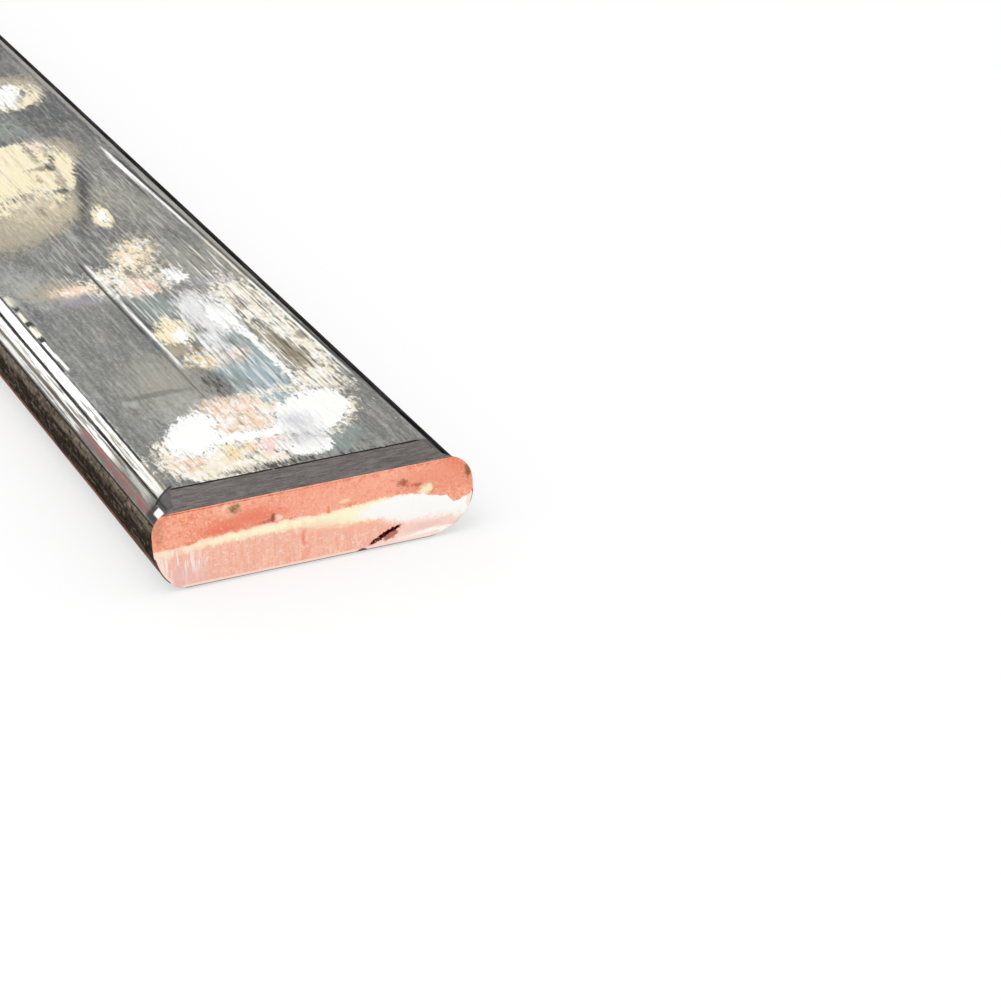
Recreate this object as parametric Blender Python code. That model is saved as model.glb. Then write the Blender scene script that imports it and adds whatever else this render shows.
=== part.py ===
"""Flat tinned-copper busbar with rounded edges: one bar, sheared at one end.

Metres, +Z up. The bar lies on its broad face with its length along X and its width along Y.
The origin is under the middle of the bar, on the floor. The sheared end is at +X, and the
other end is cut square.
"""

import math

import bmesh
import bpy
from mathutils import Matrix, Vector

MM = 0.001

# Stock section and cut length
LENGTH = 1000 * MM
WIDTH = 40 * MM
THICKNESS = 10 * MM
EDGE_RADIUS = 4.5 * MM
ARC_STEPS = 14

# Lip: the last millimetres before the cut, which the shear spread and squared up
LIP_LENGTH = 2.0 * MM
LIP_SPREAD = 0.3 * MM
# How much each rounding grows at the cut, across the width and through the thickness,
# seen from +X: top right, top left, bottom left, bottom right
LIP_GROWTH = (
    (-0.9 * MM, -1.1 * MM),
    (-1.9 * MM, -1.8 * MM),
    (-0.5 * MM, 1.5 * MM),
    (1.9 * MM, 1.1 * MM),
)
LEAST_FLAT = 0.4 * MM

# Land that the hold-down pressed into the top face along the cut
LAND_LENGTH = 6.4 * MM
LAND_DROP = 0.3 * MM

# Small rounding that the blade left all round the rim of the cut
RIM_ROUND = 0.25 * MM
RIM_STEPS = 2

# Cut face: a smooth cut zone below, and a rough break zone above that stands back from it
BREAK_STEP = 0.12 * MM
BREAK_LEAN = 4.0
BREAK_LINE = (
    (-0.06, 0.64),
    (0.022, 0.64),
    (0.154, 0.575),
    (0.295, 0.594),
    (0.418, 0.605),
    (0.501, 0.585),
    (0.611, 0.608),
    (0.700, 0.631),
    (0.773, 0.628),
    (0.909, 0.512),
    (0.937, 0.400),
    (0.977, 0.455),
    (1.060, 0.600),
)

# Tear: a slit where the cut zone ripped, near the bottom right of the cut face
TEAR_FROM_SIDE = 11.4 * MM
TEAR_HEIGHT = 1.55 * MM
TEAR_LENGTH = 4.2 * MM
TEAR_WIDTH = 0.6 * MM
TEAR_DEPTH = 0.6 * MM
TEAR_TILT = 24.0
TEAR_SIDES = 16
TEAR_ROOT_SHARE = 0.3

# Spare length by which a cutter stands clear of the metal
CLEAR = 3 * MM

CUT_X = LENGTH / 2

# Finishes
TIN = (0.42, 0.42, 0.40, 1.0)
TIN_ROUGHNESS = 0.28
COPPER = (0.90, 0.44, 0.30, 1.0)
COPPER_ROUGHNESS = 0.4
CUT_FACING = 0.5
SHARP_FROM = 20.0


def clear_scene():
    for obj in list(bpy.data.objects):
        bpy.data.objects.remove(obj, do_unlink=True)


def metal(name, colour, roughness):
    material = bpy.data.materials.new(name)
    material.use_nodes = True
    shader = material.node_tree.nodes["Principled BSDF"]
    shader.inputs["Base Color"].default_value = colour
    shader.inputs["Metallic"].default_value = 1.0
    shader.inputs["Roughness"].default_value = roughness
    material.diffuse_color = colour
    return material


def stock_corners():
    """The four equal roundings of the drawn section, limited by half the thickness."""
    radius = min(EDGE_RADIUS, (THICKNESS - LEAST_FLAT) / 2)
    return [(radius, radius)] * 4


def lip_corners():
    """The roundings at the cut. Where two would meet on a side, both shrink alike."""
    grown = []
    for (across, through), (more_across, more_through) in zip(stock_corners(), LIP_GROWTH):
        grown.append([across + more_across, through + more_through])
    for top, bottom in ((1, 2), (0, 3)):
        room = THICKNESS - LEAST_FLAT
        shrink = min(1.0, room / (grown[top][1] + grown[bottom][1]))
        grown[top][1] *= shrink
        grown[bottom][1] *= shrink
    return [tuple(corner) for corner in grown]


def section_points(x, corners, spread=0.0):
    """The section at x as one loop seen from +X: a quarter ellipse round each corner."""
    half = WIDTH / 2 + spread
    signs = ((1, 1), (-1, 1), (-1, -1), (1, -1))
    points = []
    for index, ((across, through), (side, face)) in enumerate(zip(corners, signs)):
        middle_y = side * (half - across)
        middle_z = THICKNESS - through if face > 0 else through
        for step in range(ARC_STEPS + 1):
            angle = math.radians(90 * (index + step / ARC_STEPS))
            y = middle_y + across * math.cos(angle)
            z = middle_z + through * math.sin(angle)
            points.append(Vector((x, y, z)))
    return points


def add_ring(bm, points):
    verts = [bm.verts.new(point) for point in points]
    return [bm.edges.new((verts[i - 1], verts[i])) for i in range(len(verts))]


def loft_bar(bm):
    """Straight stock up to the lip, then the lip out to the cut."""
    rings = [
        add_ring(bm, section_points(-CUT_X, stock_corners())),
        add_ring(bm, section_points(CUT_X - LIP_LENGTH, stock_corners())),
        add_ring(bm, section_points(CUT_X, lip_corners(), LIP_SPREAD)),
    ]
    for first, second in zip(rings, rings[1:]):
        bmesh.ops.bridge_loops(bm, edges=first + second)
    for ring in (rings[0], rings[-1]):
        bmesh.ops.edgeloop_fill(bm, edges=ring)


def press_land(bm):
    """Shaves the top by a shallow slope that ends LAND_DROP lower at the cut."""
    start = Vector((CUT_X - LAND_LENGTH, 0.0, THICKNESS))
    slope = Vector((LAND_DROP, 0.0, LAND_LENGTH)).normalized()
    everything = bm.verts[:] + bm.edges[:] + bm.faces[:]
    cut = bmesh.ops.bisect_plane(
        bm,
        geom=everything,
        dist=1e-7,
        plane_co=start,
        plane_no=slope,
        clear_outer=True,
    )
    rim = [item for item in cut["geom_cut"] if isinstance(item, bmesh.types.BMEdge)]
    bmesh.ops.edgeloop_fill(bm, edges=rim)


def round_rim(bm):
    """Breaks the sharp edge where the cut meets the faces and the roundings."""
    rim = []
    for edge in bm.edges:
        if all(abs(vert.co.x - CUT_X) < 1e-6 for vert in edge.verts):
            rim.append(edge)
    bmesh.ops.bevel(
        bm,
        geom=rim,
        offset=RIM_ROUND,
        segments=RIM_STEPS,
        profile=0.5,
        affect="EDGES",
        material=-1,
        clamp_overlap=True,
    )


def finish_mesh(bm, name):
    bmesh.ops.remove_doubles(bm, verts=bm.verts, dist=1e-7)
    bmesh.ops.recalc_face_normals(bm, faces=bm.faces)
    mesh = bpy.data.meshes.new(name)
    bm.to_mesh(mesh)
    bm.free()
    obj = bpy.data.objects.new(name, mesh)
    bpy.context.scene.collection.objects.link(obj)
    return obj


def make_bar():
    bm = bmesh.new()
    loft_bar(bm)
    press_land(bm)
    round_rim(bm)
    return finish_mesh(bm, "busbar")


def make_break_cutter():
    """Everything above the break line, from the leaning break plane outwards."""
    outline = []
    for across, up in BREAK_LINE:
        y = (across - 0.5) * (WIDTH + 2 * LIP_SPREAD)
        outline.append((y, up * THICKNESS))
    side = WIDTH / 2 + CLEAR
    top = THICKNESS + CLEAR
    outline = [(-side, outline[0][1])] + outline + [(side, outline[-1][1])]
    outline += [(side, top), (-side, top)]

    lean = math.tan(math.radians(BREAK_LEAN))
    lowest = min(up for _, up in BREAK_LINE) * THICKNESS
    bm = bmesh.new()
    verts = []
    for y, z in outline:
        back = BREAK_STEP + (z - lowest) * lean
        verts.append(bm.verts.new((CUT_X - back, y, z)))
    face = bm.faces.new(verts)
    pulled = bmesh.ops.extrude_face_region(bm, geom=[face])
    front = [item for item in pulled["geom"] if isinstance(item, bmesh.types.BMVert)]
    bmesh.ops.translate(bm, vec=(CLEAR, 0.0, 0.0), verts=front)
    return finish_mesh(bm, "break_cutter")


def make_tear_cutter():
    """A flat oval wedge: full size where it meets the cut face, narrow at its root."""
    at_face = 0.5
    at_root = at_face * TEAR_ROOT_SHARE
    bm = bmesh.new()
    bmesh.ops.create_cone(
        bm,
        cap_ends=True,
        segments=TEAR_SIDES,
        radius1=at_root,
        radius2=2 * at_face - at_root,
        depth=2 * TEAR_DEPTH,
        matrix=Matrix.Rotation(math.radians(90), 4, "Y"),
    )
    bmesh.ops.scale(bm, vec=(1.0, TEAR_LENGTH, TEAR_WIDTH), verts=bm.verts)
    tilt = Matrix.Rotation(math.radians(TEAR_TILT), 4, "X")
    place = Vector((CUT_X, WIDTH / 2 - TEAR_FROM_SIDE, TEAR_HEIGHT))
    bmesh.ops.transform(bm, matrix=Matrix.Translation(place) @ tilt, verts=bm.verts)
    return finish_mesh(bm, "tear_cutter")


def cut_away(bar, cutter, left_behind):
    """Takes the cutter out of the bar. The new faces wear the material that it leaves behind."""
    cutter.data.materials.append(left_behind)
    cutter.hide_render = True
    cutter.display_type = "WIRE"
    modifier = bar.modifiers.new(cutter.name, "BOOLEAN")
    modifier.operation = "DIFFERENCE"
    modifier.object = cutter
    modifier.material_mode = "TRANSFER"


def dress(bar, tin, copper):
    """Tin all over; bare copper where both ends were cut."""
    bar.data.materials.append(tin)
    bar.data.materials.append(copper)
    for face in bar.data.polygons:
        face.material_index = 1 if abs(face.normal.x) > CUT_FACING else 0
    bar.data.shade_smooth()
    bar.data.set_sharp_from_angle(angle=math.radians(SHARP_FROM))


def main():
    clear_scene()
    tin = metal("tinned_face", TIN, TIN_ROUGHNESS)
    copper = metal("bare_copper", COPPER, COPPER_ROUGHNESS)
    bar = make_bar()
    dress(bar, tin, copper)
    cut_away(bar, make_break_cutter(), copper)
    cut_away(bar, make_tear_cutter(), copper)


main()
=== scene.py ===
# %% [markdown]
# # A tinned copper busbar with one sheared end
# A busbar is a flat bar of copper that carries a large current. This one was drawn through a
# die, which rounded its edges, dipped in tin, and cropped in a shear. The scene shows it lying
# on a pale floor, seen from just off its sheared end.
#
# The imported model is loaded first. It fixes where the bar is and how big it may be.

# %% Load the frame
import math

import bmesh
import bpy
from mathutils import Matrix, Vector, kdtree, noise


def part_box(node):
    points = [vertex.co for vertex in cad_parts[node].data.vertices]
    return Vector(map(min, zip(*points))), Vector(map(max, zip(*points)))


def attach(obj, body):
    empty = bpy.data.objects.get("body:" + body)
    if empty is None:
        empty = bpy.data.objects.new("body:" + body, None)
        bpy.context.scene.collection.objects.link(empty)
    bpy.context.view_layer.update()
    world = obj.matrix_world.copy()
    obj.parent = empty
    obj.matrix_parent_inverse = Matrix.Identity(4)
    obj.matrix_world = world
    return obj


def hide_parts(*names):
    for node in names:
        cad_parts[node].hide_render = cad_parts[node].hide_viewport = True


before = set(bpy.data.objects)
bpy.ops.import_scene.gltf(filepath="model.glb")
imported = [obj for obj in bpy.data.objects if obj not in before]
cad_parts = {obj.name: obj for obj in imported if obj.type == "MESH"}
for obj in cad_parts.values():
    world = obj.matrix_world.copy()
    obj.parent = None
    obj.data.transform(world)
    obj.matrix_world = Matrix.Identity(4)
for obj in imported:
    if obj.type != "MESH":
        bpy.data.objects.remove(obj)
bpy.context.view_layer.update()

# %% [markdown]
# ## Sizes
# Lengths are thought of in millimetres and turned into metres with MM. Places along the bar
# are often given from the cut, so that -10 is ten millimetres back from the sheared end.

# %% The bar's own sizes
MM = 0.001
LENGTH = 1000.0
WIDTH = 40.0
THICKNESS = 10.0
EDGE_RADIUS = 4.5
CUT_X = LENGTH / 2
FLAT_HALF = WIDTH / 2 - EDGE_RADIUS

LIP_LENGTH = 2.0
LIP_SPREAD = 0.3
# Roundings at the cut, across and through, seen from the cut: each by its side and its face
LIP_CORNERS = {(1, 1): (3.6, 3.4), (-1, 1): (2.6, 2.7), (-1, -1): (4.0, 6.0), (1, -1): (6.4, 5.6)}

LAND_LENGTH = 6.4
LAND_DROP = 0.3
RIM_ROUND = 0.25

low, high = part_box("busbar")
print("packed bar, mm:", [round(1000 * (b - a), 2) for a, b in zip(low, high)])

# %% [markdown]
# ## The camera
# The bar points at the camera, a little to the right, and the camera looks down on it. The
# far part of the bar runs out of the picture on the left. The camera stands close, about 0.4 m
# from the cut, with a long lens.

# %% Camera
CAMERA_PLACE = Vector((830.217, -121.556, 173.207)) * MM
CAMERA_TURN = 66.252
CAMERA_RISE = 25.323
CAMERA_ROLL = -1.129
FOCAL_PIXELS = 3300.0
PHOTO_HEIGHT = 1007
SENSOR = 36.0


def aim(turn, rise, roll):
    """The camera's axes as a matrix: right, up and back."""
    turn, rise, roll = (math.radians(angle) for angle in (turn, rise, roll))
    back = Vector((
        math.sin(turn) * math.cos(rise),
        -math.cos(turn) * math.cos(rise),
        math.sin(rise),
    ))
    right = Vector((math.cos(turn), math.sin(turn), 0.0))
    up = back.cross(right)
    level_right = math.cos(roll) * right + math.sin(roll) * up
    level_up = -math.sin(roll) * right + math.cos(roll) * up
    return Matrix((level_right, level_up, back)).transposed()


def add_object(name, data):
    """A new object that shows this data in the scene."""
    thing = bpy.data.objects.new(name, data)
    bpy.context.scene.collection.objects.link(thing)
    return thing


lens = bpy.data.cameras.new("camera")
lens.sensor_width = SENSOR
lens.lens = SENSOR * FOCAL_PIXELS / PHOTO_HEIGHT
lens.clip_start = 0.01
camera = add_object("camera", lens)
camera.matrix_world = (
    Matrix.Translation(CAMERA_PLACE) @ aim(CAMERA_TURN, CAMERA_RISE, CAMERA_ROLL).to_4x4()
)
bpy.context.scene.camera = camera
bpy.context.scene.view_settings.view_transform = "Standard"
print("camera at", [round(v, 4) for v in CAMERA_PLACE], "lens mm", round(lens.lens, 2))

# %% [markdown]
# ## The stock
# The straight part is a box whose four long edges are rounded. A bevel on those edges gives
# true quarter circles, as the drawing die does. The flats are then cut into strips, because
# the fine marks on them need points to hang on.

# %% Straight stock with rounded edges
ARC_STEPS = 18
TOP_STRIP = 0.62
BOTTOM_STRIP = 4.0
LEVEL_NORMAL = 0.999


def at(*values):
    """A point given in millimetres."""
    return Vector(values) * MM


def parts_of(faces):
    """These faces with their edges and corners, each once and always in the same order."""
    edges = dict.fromkeys(edge for face in faces for edge in face.edges)
    verts = dict.fromkeys(vert for face in faces for vert in face.verts)
    return [*verts, *edges, *faces]


def cut_across(bm, faces, point, normal):
    """Cuts these faces where a plane crosses them. It returns all the faces that result."""
    result = bmesh.ops.bisect_plane(
        bm, geom=parts_of(faces), dist=1e-8, plane_co=point, plane_no=normal
    )
    return [item for item in result["geom"] if isinstance(item, bmesh.types.BMFace)]


def rule(bm, faces, axis, positions):
    """Cuts faces by a row of parallel planes, in rising order, as with a ruler."""
    normal = Vector([float(index == axis) for index in range(3)])
    done, rest = [], list(faces)
    for position in positions:
        pieces = cut_across(bm, rest, normal * position * MM, normal)
        rest = [face for face in pieces if face.calc_center_median()[axis] > position * MM]
        done += [face for face in pieces if face.calc_center_median()[axis] <= position * MM]
    return done + rest


def level_faces(bm, up):
    """The faces of the top flat, or with up = -1 those of the bottom flat."""
    return [face for face in bm.faces if face.normal.z * up > LEVEL_NORMAL]


def steps(first, last, spacing):
    """Evenly spaced places strictly between two values."""
    count = max(1, round((last - first) / spacing))
    return [first + (last - first) * index / count for index in range(1, count)]


bar = bmesh.new()
bmesh.ops.create_cube(bar, size=1.0)
bmesh.ops.scale(bar, vec=at(LENGTH, WIDTH, THICKNESS), verts=bar.verts)
bmesh.ops.translate(bar, vec=at(0, 0, THICKNESS / 2), verts=bar.verts)
long_edges = [e for e in bar.edges if abs(e.verts[0].co.x - e.verts[1].co.x) > CUT_X * MM]
bmesh.ops.bevel(
    bar,
    geom=long_edges,
    offset=EDGE_RADIUS * MM,
    segments=ARC_STEPS,
    profile=0.5,
    affect="EDGES",
    material=-1,
)
bar.normal_update()
for up, strip in ((1, TOP_STRIP), (-1, BOTTOM_STRIP)):
    rule(bar, level_faces(bar, up), 1, steps(-FLAT_HALF, FLAT_HALF, strip))
print("stock:", len(bar.verts), "points round and along")

# %% [markdown]
# ## Die lines
# A hard speck in the die scores the bar along its whole length. A score is made the way a
# scriber would make it: three cuts side by side along the bar, then the middle one is pushed
# into the metal. On the flats a cut is a plane at one place across the width. On a rounding it
# is a plane through the rounding's axis, at an angle measured from straight up.

# %% Score the die lines
# Across the top, in millimetres: place, half width, depth
TOP_SCORES = ((-2.9, 0.25, 0.03), (11.4, 0.15, 0.008))
BOTTOM_SCORES = ((4.2, 0.25, 0.04), (-7.6, 0.18, 0.03), (12.1, 0.15, 0.02))
# On the roundings: side, angle from straight up, half width in degrees, depth
EDGE_SCORES = (
    (-1, 9.5, 2.0, 0.04),
    (-1, 29.0, 2.2, 0.08),
    (-1, 46.5, 2.0, 0.05),
    (-1, 73.0, 1.8, 0.03),
    (1, 12.0, 2.0, 0.03),
    (1, 27.0, 2.0, 0.04),
    (1, 58.0, 2.0, 0.04),
    (-1, 131.0, 2.0, 0.04),
    (1, 118.0, 2.0, 0.05),
)


def verts_on_plane(faces, point, normal):
    """The corners of these faces that lie on a plane, each once."""
    verts = dict.fromkeys(vert for face in faces for vert in face.verts)
    return [v for v in verts if abs((v.co - point).dot(normal)) < 1e-6]


def long_faces(bm):
    return [face for face in bm.faces if abs(face.normal.x) < 0.5]


def score_flat(bm, up, place, half_width, depth):
    """A score along the top flat, or with up = -1 along the bottom one."""
    across = Vector((0.0, 1.0, 0.0))
    faces = level_faces(bm, up)
    for offset in (-half_width, half_width, 0.0):
        faces = cut_across(bm, faces, at(0, place + offset, 0), across)
    middle = verts_on_plane(faces, at(0, place, 0), across)
    bmesh.ops.translate(bm, vec=at(0, 0, -up * depth), verts=middle)


def score_edge(bm, side, angle, half_width, depth):
    """A score along one rounding, at an angle from straight up."""
    axis_z = THICKNESS - EDGE_RADIUS if angle <= 90 else EDGE_RADIUS
    axis = at(0, side * FLAT_HALF, axis_z)
    faces = []
    for face in long_faces(bm):
        centre = face.calc_center_median()
        beyond = (centre.y - axis.y) * side > 0
        same_half = (centre.z - axis.z) * (1 if angle <= 90 else -1) > 0
        if beyond and same_half:
            faces.append(face)
    for turn in (angle - half_width, angle + half_width, angle):
        radians = math.radians(turn)
        outward = Vector((0.0, side * math.sin(radians), math.cos(radians)))
        normal = Vector((0.0, -side * math.cos(radians), math.sin(radians)))
        faces = cut_across(bm, faces, axis, normal)
    middle = verts_on_plane(faces, axis, normal)
    bmesh.ops.translate(bm, vec=outward * -depth * MM, verts=middle)


bar.normal_update()
for up, scores in ((1, TOP_SCORES), (-1, BOTTOM_SCORES)):
    for score in scores:
        score_flat(bar, up, *score)
for score in EDGE_SCORES:
    bar.normal_update()
    score_edge(bar, *score)
score_count = len(TOP_SCORES) + len(BOTTOM_SCORES) + len(EDGE_SCORES)
print("scores:", score_count, "- points round the bar:", len(bar.verts) // 2)

# %% [markdown]
# ## Which faces are sides
# The sides are duller than the top and painted darker, as painted shade of the dark things they
# mirror. They get a finish of their own. It starts in the middle of the right rounding, but low
# on the left one, where the painted dark line under the painted bright stripes hides the change.

# %% Mark the sides
TIN, PRESSED, COPPER, SIDE = 0, 1, 2, 3
SIDE_FROM = {-1: 60.0, 1: 20.0}
SIDE_TO = 150.0


def true_angle(y, z):
    """Degrees from straight up round the middle of the nearest rounding."""
    up = z - THICKNESS / 2
    level = max(0.0, abs(up) - (THICKNESS / 2 - EDGE_RADIUS)) * (1 if up > 0 else -1)
    return math.degrees(math.atan2(abs(y) - FLAT_HALF, level))


side_faces = 0
for face in long_faces(bar):
    x, y, z = face.calc_center_median() / MM
    if abs(y) > FLAT_HALF and SIDE_FROM[1 if y > 0 else -1] < true_angle(y, z) < SIDE_TO:
        face.material_index = SIDE
        side_faces += 1
print("side strips:", side_faces)

# %% [markdown]
# ## Rings along the bar
# The long strips are divided into short ones. The rings are far apart on the plain stock and
# close together near the cut, where the shape changes.

# %% Divide the length
# From the cut: where each span starts, and how many rings it gets
SPANS = ((-LENGTH, 80), (-170.0, 52), (-90.0, 81), (-8.0, 14), (-LIP_LENGTH, 2))


def spanning(bm, start, end):
    """Edges that run along the bar from one ring to the next, without a ring between."""
    found = []
    for edge in bm.edges:
        first, second = sorted(vert.co.x / MM - CUT_X for vert in edge.verts)
        if abs(first - start) < 1e-3 and abs(second - end) < 1e-3:
            found.append(edge)
    return found


for start, _ in SPANS[1:]:
    cut_across(bar, bar.faces[:], at(CUT_X + start, 0, 0), Vector((1.0, 0.0, 0.0)))
ends = [start for start, _ in SPANS[1:]] + [0.0]
for (start, rings), end in zip(SPANS, ends):
    bmesh.ops.subdivide_edges(bar, edges=spanning(bar, start, end), cuts=rings, use_grid_fill=True)
print("rings placed:", len(bar.faces), "faces")

# %% [markdown]
# ## The lip
# The shear's blade dragged the last two millimetres of metal with it, so the section is a
# little wider there and its four roundings no longer match. The blade wiped the scores away
# as well. So each point is first put back on the plain section. Then the section is warped
# zone by zone: each rounding is stretched to its new size, and the flats between them follow.

# %% Spread the lip
def limit(value, lowest=0.0, highest=1.0):
    return max(lowest, min(highest, value))


def ease(value):
    """A smooth rise from 0 to 1."""
    value = limit(value)
    return value * value * (3 - 2 * value)


def lip_corner(side, face, share):
    """The rounding's size at this share of the way along the lip."""
    across, through = LIP_CORNERS[side, face]
    return (
        EDGE_RADIUS + (across - EDGE_RADIUS) * share,
        EDGE_RADIUS + (through - EDGE_RADIUS) * share,
    )


def warp_lip(y, z, share):
    """Where a point of the straight section goes, at this share of the way to the cut."""
    half = WIDTH / 2 + LIP_SPREAD * share
    middle = THICKNESS / 2
    side = 1 if y > 0 else -1
    face = 1 if z > middle else -1
    across, through = lip_corner(side, face, share)
    beyond_y = (abs(y) - FLAT_HALF) / EDGE_RADIUS
    beyond_z = (abs(z - middle) - (middle - EDGE_RADIUS)) / EDGE_RADIUS
    if beyond_y >= 0:
        new_y = side * (half - across + across * beyond_y)
    else:
        left = -(half - lip_corner(-1, face, share)[0])
        right = half - lip_corner(1, face, share)[0]
        new_y = left + (right - left) * (y + FLAT_HALF) / (2 * FLAT_HALF)
    if beyond_z >= 0:
        new_z = middle + face * (middle - through + through * beyond_z)
    else:
        below = lip_corner(side, -1, share)[1]
        above = THICKNESS - lip_corner(side, 1, share)[1]
        new_z = below + (above - below) * (z - EDGE_RADIUS) / (THICKNESS - 2 * EDGE_RADIUS)
    return new_y, new_z


def smoothed(y, z):
    """The point of the plain section, without any score, that lies nearest to this one."""
    middle = THICKNESS / 2
    side, face = (1 if y > 0 else -1), (1 if z > middle else -1)
    beyond_y = max(0.0, abs(y) - FLAT_HALF)
    beyond_z = max(0.0, abs(z - middle) - (middle - EDGE_RADIUS))
    reach = math.hypot(beyond_y, beyond_z)
    if reach < EDGE_RADIUS / 2:
        return y, z
    grow = EDGE_RADIUS / reach
    if beyond_y > 0:
        y = side * (FLAT_HALF + beyond_y * grow)
    if beyond_z > 0:
        z = middle + face * (middle - EDGE_RADIUS + beyond_z * grow)
    return y, z


for vert in bar.verts:
    x, y, z = vert.co / MM
    if x > CUT_X - LIP_LENGTH - 0.001:
        share = limit((x - CUT_X + LIP_LENGTH) / LIP_LENGTH)
        y, z = warp_lip(*smoothed(y, z), share)
        vert.co.y, vert.co.z = y * MM, z * MM
print("lip width, mm:", WIDTH + 2 * LIP_SPREAD)

# %% [markdown]
# ## The pressed land
# The shear's hold-down pressed a flat band into the top, right along the cut. One sloping
# plane takes off everything above it, and the opening is closed by a single flat face. That
# face gets its own finish, so it is marked here.

# %% Press the land
land_start = at(CUT_X - LAND_LENGTH, 0, THICKNESS)
land_slope = Vector((LAND_DROP, 0.0, LAND_LENGTH)).normalized()
taken = bmesh.ops.bisect_plane(
    bar,
    geom=bar.verts[:] + bar.edges[:] + bar.faces[:],
    dist=1e-7,
    plane_co=land_start,
    plane_no=land_slope,
    clear_outer=True,
)
edge_of_land = [item for item in taken["geom_cut"] if isinstance(item, bmesh.types.BMEdge)]
land = bmesh.ops.edgeloop_fill(bar, edges=edge_of_land)["faces"]
for face in land:
    face.material_index = PRESSED
print("land:", len(land), "face,", round(1e6 * sum(f.calc_area() for f in land), 1), "mm2")

# %% [markdown]
# ## The rim
# No cut edge is perfectly sharp. A narrow bevel runs all round the cut, and it stays with the
# copper, because the blade smeared copper over it.

# %% Round the rim
for face in bar.faces:
    if abs(face.calc_center_median().x) > (CUT_X - 1e-3) * MM and abs(face.normal.x) > 0.9:
        face.material_index = COPPER
rim = []
for edge in bar.edges:
    if all(abs(vert.co.x - CUT_X * MM) < 1e-6 for vert in edge.verts):
        rim.append(edge)
rounded = bmesh.ops.bevel(
    bar,
    geom=rim,
    offset=RIM_ROUND * MM,
    segments=3,
    profile=0.5,
    affect="EDGES",
    material=-1,
)
for face in rounded["faces"]:
    face.material_index = COPPER
print("rim:", len(rim), "edges rounded")

# %% [markdown]
# ## A net of points on the cut
# The cut face shows the finest relief of the whole bar: a smooth zone that the blade burnished,
# a rough zone where the metal broke, pits, scratches and a tear. The one flat face is ruled
# into small squares, and into smaller ones where the tear will be.

# %% Rule the cut face and the land
NET = 0.14
LAND_NET = (0.6, 0.7)
TEAR_MIDDLE = (8.6, 1.55)
TEAR_WINDOW = ((5.2, 12.0), (-1.0, 3.7))


def centre_mm(face):
    return face.calc_center_median() / MM


bar.normal_update()
cap = [f for f in bar.faces if f.normal.x > 0.99 and centre_mm(f).x > CUT_X - 0.01]
cap = rule(bar, cap, 2, steps(0.0, THICKNESS, NET))
cap = rule(bar, cap, 1, steps(-WIDTH / 2 - 0.5, WIDTH / 2 + 0.5, NET))


def in_window(face):
    centre = centre_mm(face)
    (y0, y1), (z0, z1) = TEAR_WINDOW
    return y0 < centre.y < y1 and z0 < centre.z < z1


near_tear = [face for face in cap if in_window(face)]
(tear_y0, tear_y1), (_, tear_top) = TEAR_WINDOW
fine_levels = [z for z in steps(0.0, THICKNESS, NET / 2) if NET / 2 < z < tear_top]
near_tear = rule(bar, near_tear, 2, fine_levels)
near_tear = rule(bar, near_tear, 1, steps(tear_y0, tear_y1, NET / 2))

land = [face for face in bar.faces if face.material_index == PRESSED]
land = rule(bar, land, 1, steps(-WIDTH / 2, WIDTH / 2, LAND_NET[1]))
land = rule(bar, land, 0, steps(CUT_X - LAND_LENGTH, CUT_X, LAND_NET[0]))
print("cut face:", len(cap), "squares; near the tear:", len(near_tear), "; land:", len(land))

# %% [markdown]
# ## How the metal parted
# The blade cut smoothly from below until the rest broke away. The border between the two, the
# break line, wanders across the face. It is written as a short row of heights, with a little
# noise for its ragged edge. Above it the face stands back and leans; below it are the blade's
# fine upright scratches. All of it is a depth behind the cut plane, worked out point by point.

# %% The cut face in numbers
BREAK_LINE = (
    (-21.0, 5.3), (-19.4, 5.3), (-16.2, 5.35), (-13.4, 5.8), (-8.34, 5.94), (-3.33, 6.05),
    (0.06, 5.85), (4.52, 6.08), (8.11, 6.31), (11.07, 6.28), (16.62, 5.12), (17.76, 4.0),
    (19.35, 4.55), (21.0, 5.6),
)
BREAK_STEP = 0.12
BREAK_LEAN = math.tan(math.radians(4.0))
BREAK_LOWEST = 4.0
BREAK_BLEND = 0.3
ROLL_DEPTH, ROLL_REACH = 0.09, 0.45
TEAR_TILT = 24.0
TEAR_HALF = (2.1, 0.3)
TEAR_DEPTH = 0.6
TEAR_LOBE = (9.2, 1.25)
TEAR_LOBE_HALF = (1.1, 0.5)
TEAR_LOBE_DEPTH = 0.22
# Pits: across, up, half width, half height, depth
PITS = (
    (-9.95, 8.75, 0.62, 0.42, 0.16),
    (-4.75, 6.62, 0.32, 0.34, 0.10),
    (11.3, 7.65, 0.42, 0.22, 0.10),
    (13.0, 7.0, 0.34, 0.2, 0.08),
    (19.6, 7.6, 0.3, 0.55, 0.12),
    (3.7, 6.95, 0.36, 0.26, 0.07),
    (-16.2, 7.4, 0.25, 0.2, 0.06),
    (7.2, 8.5, 0.22, 0.18, 0.05),
)
NICKS = ((5.6, 0.1, 0.45, 0.3, 0.25), (-19.2, 1.9, 0.3, 0.5, 0.06))
heights = [z for _, z in BREAK_LINE]
print("break line, mm up:", min(heights), "to", max(heights), "- pits:", len(PITS))

# %% Depth behind the cut plane
def wander(*place):
    """Smooth noise between -1 and 1."""
    return noise.noise(Vector(place))


def break_height(y):
    """Height of the break line at this place across the bar."""
    for (y0, z0), (y1, z1) in zip(BREAK_LINE, BREAK_LINE[1:]):
        if y <= y1:
            break
    height = z0 + (z1 - z0) * ease((y - y0) / (y1 - y0))
    return height + 0.16 * wander(y * 0.9, 3.1, 0.0) + 0.09 * wander(y * 3.1, 8.4, 0.0)


def broken_share(over):
    """0 under the break line, 1 over it, and a short blend between."""
    return ease(over / BREAK_BLEND + 0.5)


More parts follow.
